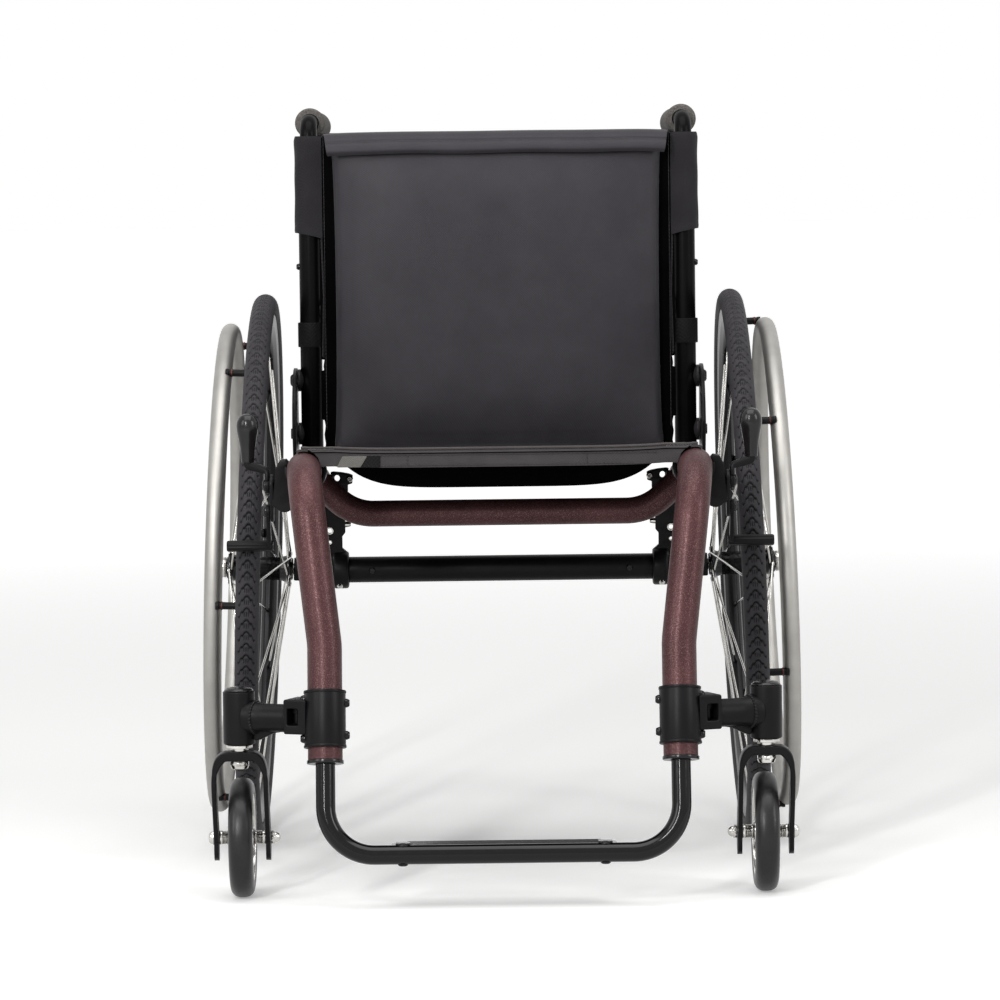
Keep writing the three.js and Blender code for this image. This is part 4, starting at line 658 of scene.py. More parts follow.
def tread_height(s, x):
    """How deep the tread's grooves are, from 0 to 1, at s along and x across the tyre, in pitches and
    millimetres. Each pitch has an arch in the middle, s = 0.34 (x / 4.2)^2, three short stems under
    it, and an S-shaped sipe from each foot of the arch out to the shoulder."""
    away = np.abs(x)
    pitch_mm = 2 * np.pi * (TYRE_CENTRE_R + TYRE_SECTION_R) / TREAD_PITCHES

    def groove(line, width, shown):
        miss = np.abs((s - line + 0.5) % 1 - 0.5) * pitch_mm
        return np.clip(1.6 - miss / width, 0, 1) * shown

    arch = groove(0.34 * (away / 4.2) ** 2, 0.95, away < 4.6)
    stems = np.maximum(np.clip(1.5 - away / 0.5, 0, 1), np.clip(1.5 - np.abs(away - 2.3) / 0.5, 0, 1))
    stems = stems * ((s % 1 > 0.3) & (s % 1 < 0.72))
    out = (away - 4.2) / 5.8
    sipe = groove(0.36 + 0.42 * out - 0.14 * np.sin(2 * np.pi * out), 0.8, (away > 4.0) & (away < 10.2))
    return np.maximum(np.maximum(arch, 0.5 * stems), sipe)


def tyre():
    """Tyre: a circle of section swept round the wheel, (R + r cos a) round and r sin a across, with
    the tread's grooves taken off r. Gives the shape and each point's share of groove."""
    round_count = TREAD_PITCHES * TREAD_SAMPLES
    t = np.linspace(0, 2 * np.pi, round_count, endpoint=False)[:, None]
    tread_half = 62 * DEG
    a = np.concatenate([np.linspace(-TYRE_WRAP, -tread_half, 7)[:-1],
                        np.linspace(-tread_half, tread_half, 37),
                        np.linspace(tread_half, TYRE_WRAP, 7)[1:]])[None]
    groove = tread_height(t / (2 * np.pi) * TREAD_PITCHES, TYRE_SECTION_R * a)
    shoulder = 0.5 * np.clip(1 - np.abs(np.abs(a) - 68 * DEG) / (4 * DEG), 0, 1)
    r = TYRE_SECTION_R - 1.8 * groove - shoulder
    out = TYRE_CENTRE_R + r * np.cos(a)
    across = r * np.sin(a) + 0 * t
    return grid(np.stack([across, -out * np.sin(t), out * np.cos(t)], -1), True, True), groove.ravel()


def rim():
    """Box-section rim with a rounded well and a low lip under each bead."""
    inner = RIM_R - RIM_DEPTH
    half = [(inner, 0), (inner + 1, 4.5), (RIM_R - 12, RIM_HALF - 1.2), (RIM_R - 1.5, RIM_HALF),
            (RIM_R, RIM_HALF - 1.5)]
    other = [(r, -x) for r, x in half[:0:-1]]
    profile = rounded([*half, *other], [3, 3, 4, 1, 0.6, 0.6, 1, 4, 3], 4, True)
    return lathe(profile, sides=180, closed=True)


def spoke_set():
    """Spokes crossed over the hub, each with its bend at the flange and its nipple at the rim."""
    spokes, nipples = [], []
    hole_r = FLANGE_R - 3
    end_r = RIM_R - RIM_DEPTH - 0.8
    for i in range(SPOKES):
        face = 1 if i % 2 else -1
        lead = 1 if (i // 2) % 2 else -1
        rim_turn = 2 * np.pi * i / SPOKES
        hub_turn = rim_turn + lead * 52 * DEG
        start = np.array([face * (FLANGE_X + lead * 1.3), hole_r * np.sin(hub_turn),
                          hole_r * np.cos(hub_turn)])
        end = np.array([face * 2, end_r * np.sin(rim_turn), end_r * np.cos(rim_turn)])
        way = unit(end - start)
        through = start - X_AXIS * face * lead * 3
        line = rounded([through, start, start + way * 6, end], [0, 1.4, 0, 0], 4)
        spokes.append(sweep(line, SPOKE_R, np.cross(X_AXIS, way), 10))
        spokes.append(bar(through, through - X_AXIS * face * lead * 0.9, 1.9, 10, 0.3))
        nipples.append(lathe([(0, -14), (1.7, -14), (2.0, -3), (2.6, 0), (0, 0)], end, way, 10, 0.3))
    return spokes, nipples


def hub():
    """Hub shell: barrel, two dished flanges and end caps, bored for the axle."""
    half = [(7, 36), (11.2, 36), (12, 35), (12, 34.2), (FLANGE_R, 33.8), (FLANGE_R, 30.2), (14.5, 28.5),
            (12.5, 22), (12.5, 0)]
    other = [(r, -x) for r, x in half[-2::-1]]
    return lathe(rounded([*half, *other], 0.8, 3, True), sides=64, closed=True)


def handrim():
    """Round tube bent to a ring, R + r cos a round and r sin a across."""
    a = np.linspace(0, 2 * np.pi, 32, endpoint=False)
    ring = [HANDRIM_R + HANDRIM_TUBE_R * np.cos(a), HANDRIM_OUT + HANDRIM_TUBE_R * np.sin(a)]
    return lathe(np.column_stack(ring), sides=220, closed=True)


def tab_posts(first):
    """Posts between rim and handrim, the first of them some degrees from the wheel's top, and the
    coloured collar at each one's outer end."""
    posts, collars = [], []
    radius = RIM_R - TAB_INSET
    low, high = RIM_HALF - 2.0, HANDRIM_OUT - 3
    for i in range(TABS):
        turn = first * DEG + 2 * np.pi * i / TABS
        base = np.array([0, -radius * np.sin(turn), radius * np.cos(turn)])
        profile = [(0, low), (5.2, low), (5.2, low + 2.5), (3.9, low + 4), (3.9, high - 4), (4.4, high - 3),
                   (4.4, high), (0, high)]
        posts.append(lathe(profile, base, X_AXIS, 20, 0.4))
        collars.append(pipe(base + X_AXIS * (high - 7.4), base + X_AXIS * (high - 5.8), 4.5, 3.8, 20, 0.3))
    return posts, collars


def build_rear_wheels():
    """Both wheels. Their posts are turned as in the photograph, which isn't the same on the two."""
    spokes, nipples = spoke_set()
    body = "rear_wheel_{}"
    shape, groove = tyre()
    tyres = pair("tyre", [in_wheel(shape)], TYRE_RUBBER, body, "tyre_rubber", "rear_tyre_{}", sharp_deg=50)
    # Each point's share of groove also darkens the tyre's colour in its grooves: painted shade.
    for made in tyres:
        made.data.attributes.new("groove", "FLOAT", "POINT").data.foreach_set("value", groove)
    pair("rim", [in_wheel(rim())], RIM_METAL, body, "rim_alloy", "rear_rim_{}")
    pair("hub_shell", [in_wheel(hub())], BLACK_GLOSS, body, "black_coat", "rear_hub_{}")
    pair("spokes", [in_wheel(s) for s in spokes], STEEL, body, "steel")
    pair("spoke_nipples", [in_wheel(s) for s in nipples], BLACK_COAT, body, "black_coat")
    pair("handrim_ring", [in_wheel(handrim())], HANDRIM_METAL, body, "handrim_anodised", "handrim_{}")
    for word, side, first in (("left", 1, FIRST_POST_LEFT), ("right", -1, FIRST_POST_RIGHT)):
        posts, collars = tab_posts(first)
        piece(f"handrim_posts_{word}", [in_wheel(s) for s in posts], BLACK_COAT, body.format(word),
              "black_coat", side=side)
        piece(f"handrim_post_collars_{word}", [in_wheel(s) for s in collars], COPPER_COAT,
              body.format(word), "steel", side=side)


def build_axles():
    """Quick-release axle with its button in the wheel's middle, and the sleeve that takes it."""
    axle = [(0, -104.5), (6.2, -104.5), (6.2, 36.5), (11, 36.5), (11, 41.5), (5, 41.5), (5, 34), (0, 34)]
    pair("quick_axle", [in_wheel(lathe(axle, bevel=0.6))], STEEL, "frame", "steel", "wheel_axle_{}")
    button = [(0, 37.5), (4.5, 37.5), (4.5, 44.3), (3.4, 45.4), (0, 45.5)]
    pair("release_button", [in_wheel(lathe(button, sides=32, bevel=0.5))], HANDLE_PLASTIC,
         "axle_button_{}", "black_coat", "axle_button_{}")
    sleeve = pipe(X_AXIS * -104.5, X_AXIS * -37, 10, 6.7)
    nut = [(7, -46, 0), (12.2, -46, 0), (14, -44.8, 1), (14, -38.2, 1), (12.2, -37, 0), (7, -37, 0)]
    washer = pipe(X_AXIS * -49, X_AXIS * -46, 13, 10)
    pair("sleeve_body", [in_wheel(s) for s in (sleeve, lathe(nut, sides=36, closed=True), washer)],
         BLACK_COAT, "frame", "black_coat", "axle_sleeve_{}")


# Frame

def frame_path():
    corners = [RAIL_REAR, KNEE, [FOOT_X, front_y(UPRIGHT_TOP_Z), UPRIGHT_TOP_Z],
               [FOOT_X, front_y(UPRIGHT_END_Z), UPRIGHT_END_Z]]
    return rounded(corners, [0, KNEE_BEND_R, UPRIGHT_BEND_R, 0], 28)


def build_frame():
    """Side tubes with a plug in each rail's rear end, and the dipped cross tube welded between them."""
    rail_way = unit(RAIL_REAR - KNEE)
    pair("frame_tubing", [sweep(frame_path(), FRAME_R, X_AXIS, 48, FRAME_WALL)], FRAME_PAINT, "frame",
         "frame_paint", "frame_tube_{}")
    plug = [(0, -14), (15, -14), (15.1, 0.2), (FRAME_R - 0.2, 0.4), (FRAME_R - 0.6, 2.6), (11, 4.2),
            (0, 4.6)]
    pair("rail_plugs", [lathe(plug, RAIL_REAR, rail_way, 48, 0.6)], HANDLE_PLASTIC, "frame", "black_coat")
    rail = rail_at(CROSS_Y)
    corner = np.array([CROSS_FLAT_HALF, CROSS_Y, CROSS_Z])
    end = rail + unit(corner - rail) * (FRAME_R - 3)
    path = rounded([rail, corner, corner * FLIP, rail * FLIP], CROSS_BEND_R, 20)
    path = np.concatenate([[end], path[1:-1], [end * FLIP]])
    bead = weld(corner, rail - corner, CROSS_R, rail, KNEE - RAIL_REAR, FRAME_R)
    piece("cross_tubing", [sweep(path, CROSS_R, Y_AXIS, 40)], FRAME_PAINT, "frame", "frame_paint",
          "seat_cross_tube")
    pair("cross_welds", [bead], FRAME_PAINT, "frame", "frame_paint")


def build_camber_tube():
    """Camber tube with a rolled lip at each end and a button screw near each end of its front."""
    half = np.array([CAMBER_TUBE_HALF, 0, CAMBER_TUBE_Z])
    tube = pipe(half * FLIP, half, CAMBER_TUBE_R, 11.7, 56, 0.8)
    lips = []
    for s in (-1, 1):
        mouth = half * [s, 1, 1]
        lips.append(pipe(mouth - X_AXIS * s * 4, mouth + X_AXIS * s * 0.2, 14.7, 13.5, 56, 0.5))
    piece("camber_tubing", [tube, *lips], BLACK_COAT, "frame", "black_coat", "camber_tube")
    screws = [cap_screw((s * 139.5, -13.8, CAMBER_TUBE_Z), -Y_AXIS, 3.6, 2.2) for s in (-1, 1)]
    piece("camber_screws", screws, BLACK_GLOSS, "frame", "black_gloss")


def saddle(y_low, y_high, radius, start=169, end=371):
    """Clamp band round the underside of the rail, between two places along it."""
    middle = rail_at((y_low + y_high) / 2)
    way = unit(KNEE - RAIL_REAR)
    up = unit(np.cross(X_AXIS, way) * -1)
    across = np.cross(up, -way)
    ring = np.concatenate([arc(0, 0, radius, start, end, 36), arc(0, 0, FRAME_R + GAP, end, start, 36)])
    return plate(ring, y_high - y_low, across, up if up[2] > 0 else -up, middle, bevel=0.8)


def build_axle_brackets():
    """Bracket from the rail down to the camber tube, after the photograph's outline of its web."""
    rail = rail_at(0)
    # each eyelet's place across and up, its radius and its hole's radius in the web
    eyelets = ((185.2, 337.4, 4.3, 3.6), (185.2, 324.9, 2.6, 2.0))
    web = np.concatenate([
        [(182, 300), (164.8, 300), (164.8, 312.6), (171.6, 318.4), (171.6, 331), (168.3, 335),
         (168.3, 350), (164.8, 381), (164.8, 387.2), (160, 388.5), (159.4, 397.5), (164, 399.3),
         (172, 400.8), (180.2, 401.6)],
        arc(rail[0], rail[2], 19.4, 160, 262, 16),
        [(200, 368), (200, 350), (186, 312)]])
    web = rounded(web, 1.2, 2, True)
    holes = [circle(176.4, 394.4, 3.0, 24, 1.15), *(circle(x, z, hole) for x, z, _, hole in eyelets)]
    body = plate(web, 11, X_AXIS, Z_AXIS, (0, 0, 0), holes, 1.0)
    ring = pipe((164.8, 0, CAMBER_TUBE_Z), (182, 0, CAMBER_TUBE_Z), 20.3, 14.3, 56, 3.4)
    pair("axle_bracket", [body, ring, saddle(-26, 3, 21.5)], BLACK_COAT, "frame", "black_coat",
         "axle_clamp_{}")
    eyes = [pipe((x, -6.2, z), (x, 6.2, z), r, r * 0.56, 28, 0.4) for x, z, r, _ in eyelets]
    screws = [cap_screw((162.6, -5.2, 393.6), -Y_AXIS, 3.8, 3.0),
              cap_screw((174.6, -10.6, 278.4), -Y_AXIS, 3.6, 3.4),
              cap_screw((168.2, 0, 344), -X_AXIS, 3.4, 6.0)]
    rail_bolts = [cap_screw((rail[0] - 15, y, rail[2] - 15), (-0.7, 0, -0.7), 3.6, 3.0) for y in (-19, -4)]
    pair("axle_bracket_fittings", [*eyes, *screws, *rail_bolts], STEEL, "frame", "steel")


# Casters

def build_caster_clamps():
    """Clamp round the upright, with a socket for the caster's arm and its bolts."""
    middle = np.array([FOOT_X, front_y(CLAMP_Z), CLAMP_Z])
    low, high = middle + FRONT_DOWN * 28.5, middle - FRONT_DOWN * 28.5
    ring = pipe(low, high, 20.6, FRAME_R + GAP, 64, 1.4)
    lips = [pipe(low - FRONT_DOWN * d, low - FRONT_DOWN * (d + 3), 21.2, 19, 64, 0.8) for d in (0, 54)]
    start = np.array([FOOT_X, middle[1], ARM_Z + 3])
    end = np.array([STEM[0], STEM[1], ARM_Z + 3])
    way = unit(end - start)
    normal = np.cross(way, Z_AXIS)
    block = rounded(box_ring(14, -17.2, 38, 17.2), 2, 4, True)
    window = rounded(box_ring(22.5, -8.4, 34.2, 8.4), 1.6, 4, True)
    socket = plate(block, 33, way, Z_AXIS, start, [window], 1.2)
    back = plate(rounded(box_ring(20, -12, 36, 12), 2, 3, True), 12, way, Z_AXIS, start - normal * 6)
    pair("upright_clamp", [ring, *lips, socket, back], BLACK_COAT, "frame", "black_coat", "caster_clamp_{}")
    inner = [cap_screw(middle - FRONT_DOWN * d - X_AXIS * 20.2, -X_AXIS, 4.6, 4.2) for d in (16, -16)]
    outer = [cap_screw(middle - FRONT_DOWN * d + X_AXIS * 20.2, X_AXIS, 4.6, 4.2) for d in (20, -19)]
    pair("upright_clamp_bolts", [*inner, *outer], BLACK_GLOSS, "frame", "black_gloss")
    eye = start + way * 28.4 + normal * 4
    bolt = [bar(eye - Z_AXIS * 8.2, eye + Z_AXIS * 8.2, 3.4, 24), hex_nut(eye + Z_AXIS * 3, Z_AXIS, 5.2, 5)]
    pair("socket_bolt", bolt, BLACK_COAT, "frame", "black_coat")


def build_caster_arms():
    """Arm from the clamp's socket, flared where it meets the upright housing, with the weld round it,
    a rippled bead of radius 1.5 (1 + 0.2 cos 30 t), a gusset below and the housing's domed cap."""
    start = np.array([FOOT_X, front_y(CLAMP_Z), ARM_Z])
    end = np.array([STEM[0], STEM[1], ARM_Z])
    way = unit(end - start)
    stub = start + way * 37
    reach = np.linalg.norm(end - stub)
    arm = lathe([(9, 0), (ARM_R, 0), (ARM_R, reach - 31), (14.3, reach - 26), (15.2, reach - 21),
                 (16.4, reach - 16.5), (16.4, reach - 9), (9, reach - 9)], stub, way, 56, closed=True)
    collar = pipe(stub - way * 0.5, stub + way * 3, ARM_R + 1.1, 10, 56, 0.9)
    foot = np.array([STEM[0], STEM[1], 0])
    housing = [(5.5, HOUSING_LOW), (HOUSING_R - 1.2, HOUSING_LOW), (HOUSING_R, HOUSING_LOW + 1.2),
               (HOUSING_R, HOUSING_HIGH - 0.6), (HOUSING_R - 0.8, HOUSING_HIGH), (5.5, HOUSING_HIGH)]
    gusset = rounded([(40, -12.6), (76, -12.6), (79, -24), (70, -22), (56, -15.4)], 3, 4, True)
    gusset = plate(gusset, 5, way, Z_AXIS, start, bevel=1.4)
    pair("caster_arm_tube", [arm, collar, lathe(housing, foot, Z_AXIS, 64, 0.5, True), gusset],
         BLACK_COAT, "frame", "black_coat", "caster_arm_{}")
    u, v = basis(way)[:2]
    t = np.linspace(0, 2 * np.pi, 240, endpoint=False)[:, None]
    ripple = np.cos(30 * t)
    bead = end - way * 18.5 + (15.4 + 0.35 * ripple) * (u * np.cos(t) + v * np.sin(t))
    bead = sweep(bead, 1.5 * (1 + 0.2 * ripple[:, 0]), way, 8, closed=True)
    pair("caster_arm_weld", [bead], RIM_METAL, "frame", "black_gloss")
    cap = [(0, HOUSING_HIGH), (HOUSING_R - 1.6, HOUSING_HIGH), (HOUSING_R - 1.4, HOUSING_HIGH + 1.4),
           (HOUSING_R - 4, HOUSING_HIGH + 3.3), (6, HOUSING_HIGH + 4.6), (0, HOUSING_HIGH + 5)]
    pair("housing_cap", [lathe(cap, foot, Z_AXIS, 48, 0.8)], HANDLE_PLASTIC, "frame", "black_coat")


def fork():
    """Fork: a flat bar 24 mm wide bent over the wheel, whose legs lean back to the axle and end round.
    Each shoulder is a quarter ellipse, 13 mm across and 27 mm high, and the bar's width near each tip
    is 24 sqrt(1 - d^2), with d from 0 to 1 over the last 12 mm."""
    top = FORK_TOP_Z - FORK_CROWN / 2
    a = np.linspace(0, 90, 22) * DEG
    half = np.column_stack([FORK_X - 13 + 13 * np.cos(a), top - 27 + 27 * np.sin(a)])
    half = np.concatenate([[(FORK_X, FORK_TIP_Z)], half])
    line = np.concatenate([half, half[::-1] * [-1, 1]])
    line = evenly(np.column_stack([line, 0 * line[:, 0]]), 2.5)
    x, z = line[:, 0], line[:, 1]
    lean = np.clip((118 - z) / (118 - CASTER[2]), 0, 1.25)
    ease = np.where(lean < 1, lean ** 1.15, 1)
    y = STEM[1] + (CASTER[1] - STEM[1]) * ease
    d = np.clip((FORK_TIP_Z + 12 - z) / 12, 0, 0.995)
    wide = FORK_WIDE / 2 * np.sqrt(1 - d ** 2) * (1 - 0.12 * np.clip((z - 60) / 60, 0, 1) * (z < 125))
    crown = FORK_THICK / 2 + (FORK_CROWN - FORK_THICK) / 2 * np.clip((z - 128) / 14, 0, 1)
    path = np.column_stack([STEM[0] + x, y, z])
    return sweep(path, np.column_stack([wide, crown]), Y_AXIS, section=band(2, 2, 0.16))


def build_forks():
    """Forks with the stem's washer, nut and dome, and the caster's bolt between two grooved spacers."""
    foot = np.array([STEM[0], STEM[1], 0])
    body = "caster_{}"
    pair("fork_body", [fork()], BLACK_COAT, body, "black_coat", "caster_fork_{}", sharp_deg=30)
    under = FORK_TOP_Z - FORK_CROWN - GAP
    over = FORK_TOP_Z + GAP
    washer = [(5, over), (9, over), (9, 154.4), (13, 154.4), (13, 157.6), (5, 157.6)]
    nut = hex_nut(foot + Z_AXIS * (under - 4.2), Z_AXIS, 10.4, 4.0)
    dome = [(0, -9.4), (5, -9.1), (8.2, -7.4), (9.6, -4.2), (0, -4.2)]
    dome = lathe(dome, foot + Z_AXIS * under, Z_AXIS, 32)
    shank = bar(foot + Z_AXIS * (under - 1), foot + Z_AXIS * 198, 4.9)
    pair("stem_fittings", [lathe(washer, foot, Z_AXIS, 48, 0.4, True), nut, dome, shank], STEEL, body,
         "steel", "caster_stem_{}")
    grooves = [(7 - 0.8 * (i % 2), 14 + 0.8 * i) for i in range(9)]
    spacer = [(4, 12.1), (7, 12.1), *grooves, (7, 23.2), (4, 23.2)]
    parts = [lathe(rounded(spacer, 0.3, 2, True), CASTER, X_AXIS * s, 40, 0, True) for s in (-1, 1)]
    parts.append(bar(CASTER - X_AXIS * 30, CASTER + X_AXIS * 30, 3.8))
    parts.append(hex_nut(CASTER - X_AXIS * 29, -X_AXIS, 7.2, 3.6))
    acorn = [(0, 32), (5.4, 32), (5.2, 34.6), (3.8, 36.9), (1.8, 38), (0, 38.2)]
    parts.append(lathe(acorn, CASTER, -X_AXIS, 28, 0.3))
    parts.append(pipe(CASTER + X_AXIS * 28.8, CASTER + X_AXIS * 29.8, 7.4, 3.9, 32, 0.2))
    parts.append(cap_screw(CASTER + X_AXIS * 29.8, X_AXIS, 6.6, 4.2))
    pair("caster_bolt", parts, STEEL, body, "steel", "caster_axle_{}")


def build_caster_wheels():
    """Tread with a rounded section, |x / a|^2.6 + |d / b|^2.6 = 1, on a cast alloy wheel with holes."""
    a = np.linspace(0, np.pi, 40)
    depth = CASTER_R - CASTER_RIM_R - GAP
    power = 2 / 2.6
    x = CASTER_HALF * np.sign(np.cos(a)) * np.abs(np.cos(a)) ** power
    r = CASTER_RIM_R + GAP + 3 + (depth - 3) * np.sin(a) ** power
    ring = np.column_stack([r, x])
    ring = np.concatenate([ring, [(CASTER_RIM_R + GAP, -11.6), (CASTER_RIM_R + GAP, 11.6)]])
    body = "caster_wheel_{}"
    pair("caster_tread", [lathe(ring, CASTER, sides=96, closed=True)], CASTER_RUBBER, body, "caster_rubber",
         "caster_tyre_{}")
    rim_ring = [(CASTER_RIM_R, 11.4), (CASTER_RIM_R, -11.4), (38.6, -11.4), (38.6, -8), (40, -5), (40, 5),
                (38.6, 8), (38.6, 11.4)]
    rim_ring = lathe(rim_ring, CASTER, sides=96, bevel=0.8, closed=True)
    hub_ring = pipe(CASTER - X_AXIS * 11.4, CASTER + X_AXIS * 11.4, 10.5, 5, 48, 0.8)
    holes = [circle(26 * math.sin(i * 72 * DEG), 26 * math.cos(i * 72 * DEG), 8.6) for i in range(5)]
    web = plate(circle(0, 0, 40.6, 96), 9, Y_AXIS, Z_AXIS, CASTER, holes, 1.6)
    pair("caster_alloy", [rim_ring, hub_ring, web], POLISHED_ALLOY, body, "steel", "caster_wheel_{}")
    race = [pipe(CASTER + X_AXIS * s * 11.2, CASTER + X_AXIS * s * 11.9, 8.8, 5.4, 36, 0.2)
            for s in (-1, 1)]
    pair("caster_bearing_seals", race, HANDLE_PLASTIC, body, "black_coat")


# Footrest

def build_footrest():
    """U-shaped bar in the uprights' end rings, and a ribbed board behind it on two tongues."""
    end = np.array([FOOT_X, front_y(UPRIGHT_END_Z), UPRIGHT_END_Z])
    ring = [(12, -0.3), (18.3, -0.3), (18.3, -3.9), (10.6, -3.9), (10.6, 26), (13.6, 26)]
    pair("upright_ring", [lathe(ring, end, -FRONT_DOWN, 56, 0.5, True)], HANDLE_PLASTIC, "frame",
         "black_coat", "upright_end_ring_{}")
    top = end - FRONT_DOWN * 84
    low = np.array([FOOT_X, front_y(FOOTREST_Z), FOOTREST_Z])
    path = rounded([top, low, low * FLIP, top * FLIP], 48, 24)
    piece("footrest_bar", [sweep(path, FOOTREST_R, FRONT_NORMAL, 40)], BLACK_GLOSS, "footrest",
          "black_gloss", "footrest_tube")
    y = low[1]
    screws = [cap_screw((s * SCREW_X, y, FOOTREST_Z + z * (FOOTREST_R - 0.6)), Z_AXIS * z, 5.4, 2.2)
              for s in (-1, 1) for z in (-1, 1)]
    piece("footrest_screws", screws, RIM_METAL, "footrest", "black_gloss")
    outline = rounded(box_ring(-PLATE_HALF, y + 9.9, PLATE_HALF, y + 42), [3, 3, 26, 26], 14, True)
    board = plate(outline, 5, X_AXIS, Y_AXIS, (0, 0, FOOTREST_Z + 5.2), bevel=1.2)
    tongues = [plate(box_ring(s * SCREW_X - 7, y, s * SCREW_X + 7, y + 14), 2.4, X_AXIS, Y_AXIS,
                     (0, 0, FOOTREST_Z + FOOTREST_R + 0.2)) for s in (-1, 1)]
    piece("foot_board", [board, *tongues], BLACK_GLOSS, "footrest", "black_gloss", "foot_plate")
    ridge = np.array([96, y, FOOTREST_Z + 7.9])
    ridges = [bar(ridge * FLIP + Y_AXIS * d, ridge + Y_AXIS * d, 0.7, 12, 0.3) for d in range(17, 38, 5)]
    piece("foot_board_ridges", ridges, HANDLE_PLASTIC, "footrest", "black_coat")


# Seat

def sling_rows(y):
    """The sling's underside at rows of Y, from its middle out over the left rail. Between the rails its
    height is the rail's rest height less sag max(0, 1 - (x / h)^6), and on the rail it follows the
    tube's round top."""
    rail = rail_at(y)[:, None]
    forward = (SEAT_REAR_Y - y) / (SEAT_REAR_Y - SEAT_FRONT_Y)
    sag = SEAT_SAG_REAR + (SEAT_SAG_FRONT - SEAT_SAG_REAR) * forward
    hang = rail[..., 0] - 31
    contact = rail[..., 0] - SEAT_REACH * math.sin(15 * DEG)
    onto_rail = hang + (contact - hang) * np.linspace(0, 1, 9)[1:]
    inner = np.concatenate([hang * np.linspace(0, 1, 30), onto_rail], 1)
    rest = rail[..., 2] + SEAT_REACH * math.cos(15 * DEG)
    inner_z = rest - sag[:, None] * np.maximum(0, 1 - (inner / hang) ** 6)
    deg = np.linspace(15, -24, 9)[1:] * DEG
    outer, outer_z = rail[..., 0] - SEAT_REACH * np.sin(deg), rail[..., 2] + SEAT_REACH * np.cos(deg)
    return np.concatenate([inner, outer], 1), np.concatenate([inner_z, outer_z], 1), rail


def whole_width(half):
    """A half sheet, from the middle outwards, with its mirror image."""
    return np.concatenate([half[:, :0:-1] * FLIP, half], 1)


def sling_surface():
    """The sling's middle surface: rows along the seat, then the front edge folded down as a hem."""
    y = np.linspace(SEAT_REAR_Y, SEAT_FRONT_Y, 70)
    x, z, rail = sling_rows(y)
    lift = SEAT_THICK / 2
    rows = [np.stack([x, y[:, None] + 0 * x, z + lift], -1)]
    x, z, rail = x[-1], z[-1], rail[-1]
    clear = np.maximum(SEAT_REACH ** 2 - (x - rail[0, 0]) ** 2, 0)
    rail_top = np.where(clear > 0, rail[0, 2] + np.sqrt(clear), 0)
    drop = np.minimum(SEAT_HEM, np.maximum(z - rail_top, 0))
    bend = np.minimum(HEM_BEND_R, drop)
    steps = [(np.sin(a), bend * (1 - np.cos(a))) for a in np.linspace(0, np.pi / 2, 6)[1:]]
    steps += [(1, bend + (drop - bend) * share) for share in np.linspace(0, 1, 7)[1:]]
    for out, down in steps:
        rows.append(np.stack([x, SEAT_FRONT_Y - HEM_BEND_R * out + 0 * x, z + lift - down], -1)[None])
    return whole_width(np.concatenate(rows))


def build_seat():
    """Sling with its underside painted near black as shade, piping with a dark band of painted shade
    under it, a folded hem with its stitching, and the end of the tape that closes it."""
    surface = sling_surface()
    cloth = piece("seat_cloth", [shell(surface, SEAT_THICK - 0.6)], SEAT_CLOTH, "frame", "upholstery",
                  "seat_sling", sharp_deg=60)
    mesh = cloth.data
    # Downward faces get the near-black cloth: painted shade on the sling's underside.
    mesh.materials.append(PAINTED_SHADE_CLOTH)
    facing = np.empty(len(mesh.polygons) * 3, np.float32)
    mesh.polygons.foreach_get("normal", facing)
    below = facing.reshape(-1, 3)[:, 2] < -0.35
    mesh.polygons.foreach_set("material_index", below.astype(np.int32))

    def trim(name, shapes, finish):
        return piece(name, shapes, finish, "frame", "upholstery")

    front = surface[69]
    piping = sweep(evenly(front[3:-3] + [0, -1.0, 2.7], 4), 1.4, Z_AXIS, 10)
    trims = [trim("seat_piping", [piping], EDGE_TAPE)]
    # A thin near-black band in the crease under the piping: painted shade.
    fold = sweep(evenly(front[6:-6] + [0, -3.4, -1.6], 4), 1, Z_AXIS, section=band(0.8, 3.2))
    trims.append(trim("seat_fold_painted_shade", [fold], PAINTED_SHADE_CLOTH))

    hem_z = surface[70:, 45, 2].min()
    face_y = SEAT_FRONT_Y - 4.2
    top_z = hem_z + 12.2
    seams = [stitches([(-158, face_y, hem_z + d), (158, face_y, hem_z + d)], -Y_AXIS) for d in (2.2, 12.6)]
    seams += [stitches([(x, face_y, hem_z + 1.5), (x, face_y, hem_z + 13)], -Y_AXIS) for x in (-92.5, 88)]
    seams += [stitches(surface[2:68, k] + [0, 0, 1.3], Z_AXIS, 5.0, 0.5) for k in (6, -7)]
    trims.append(trim("seat_stitching", seams, THREAD))
    tape = [(-164, hem_z + 1), (-140, hem_z + 1), (-133, top_z), (-158, top_z)]
    flap = [(-140.4, hem_z + 0.6), (-120, hem_z + 0.6), (-120, top_z + 0.4), (-133, top_z + 0.4)]
    for name, ring, thick, out, finish in (("seat_tape", tape, 1.2, 0.4, HOOK_TAPE),
                                           ("seat_flap", flap, 1.0, 0.2, WEBBING)):
        flat = plate(rounded(ring, 0.8, 2, True), thick, X_AXIS, Z_AXIS, (0, face_y - out, 0), bevel=0.3)
        trims.append(trim(name, [flat], finish))


# Backrest

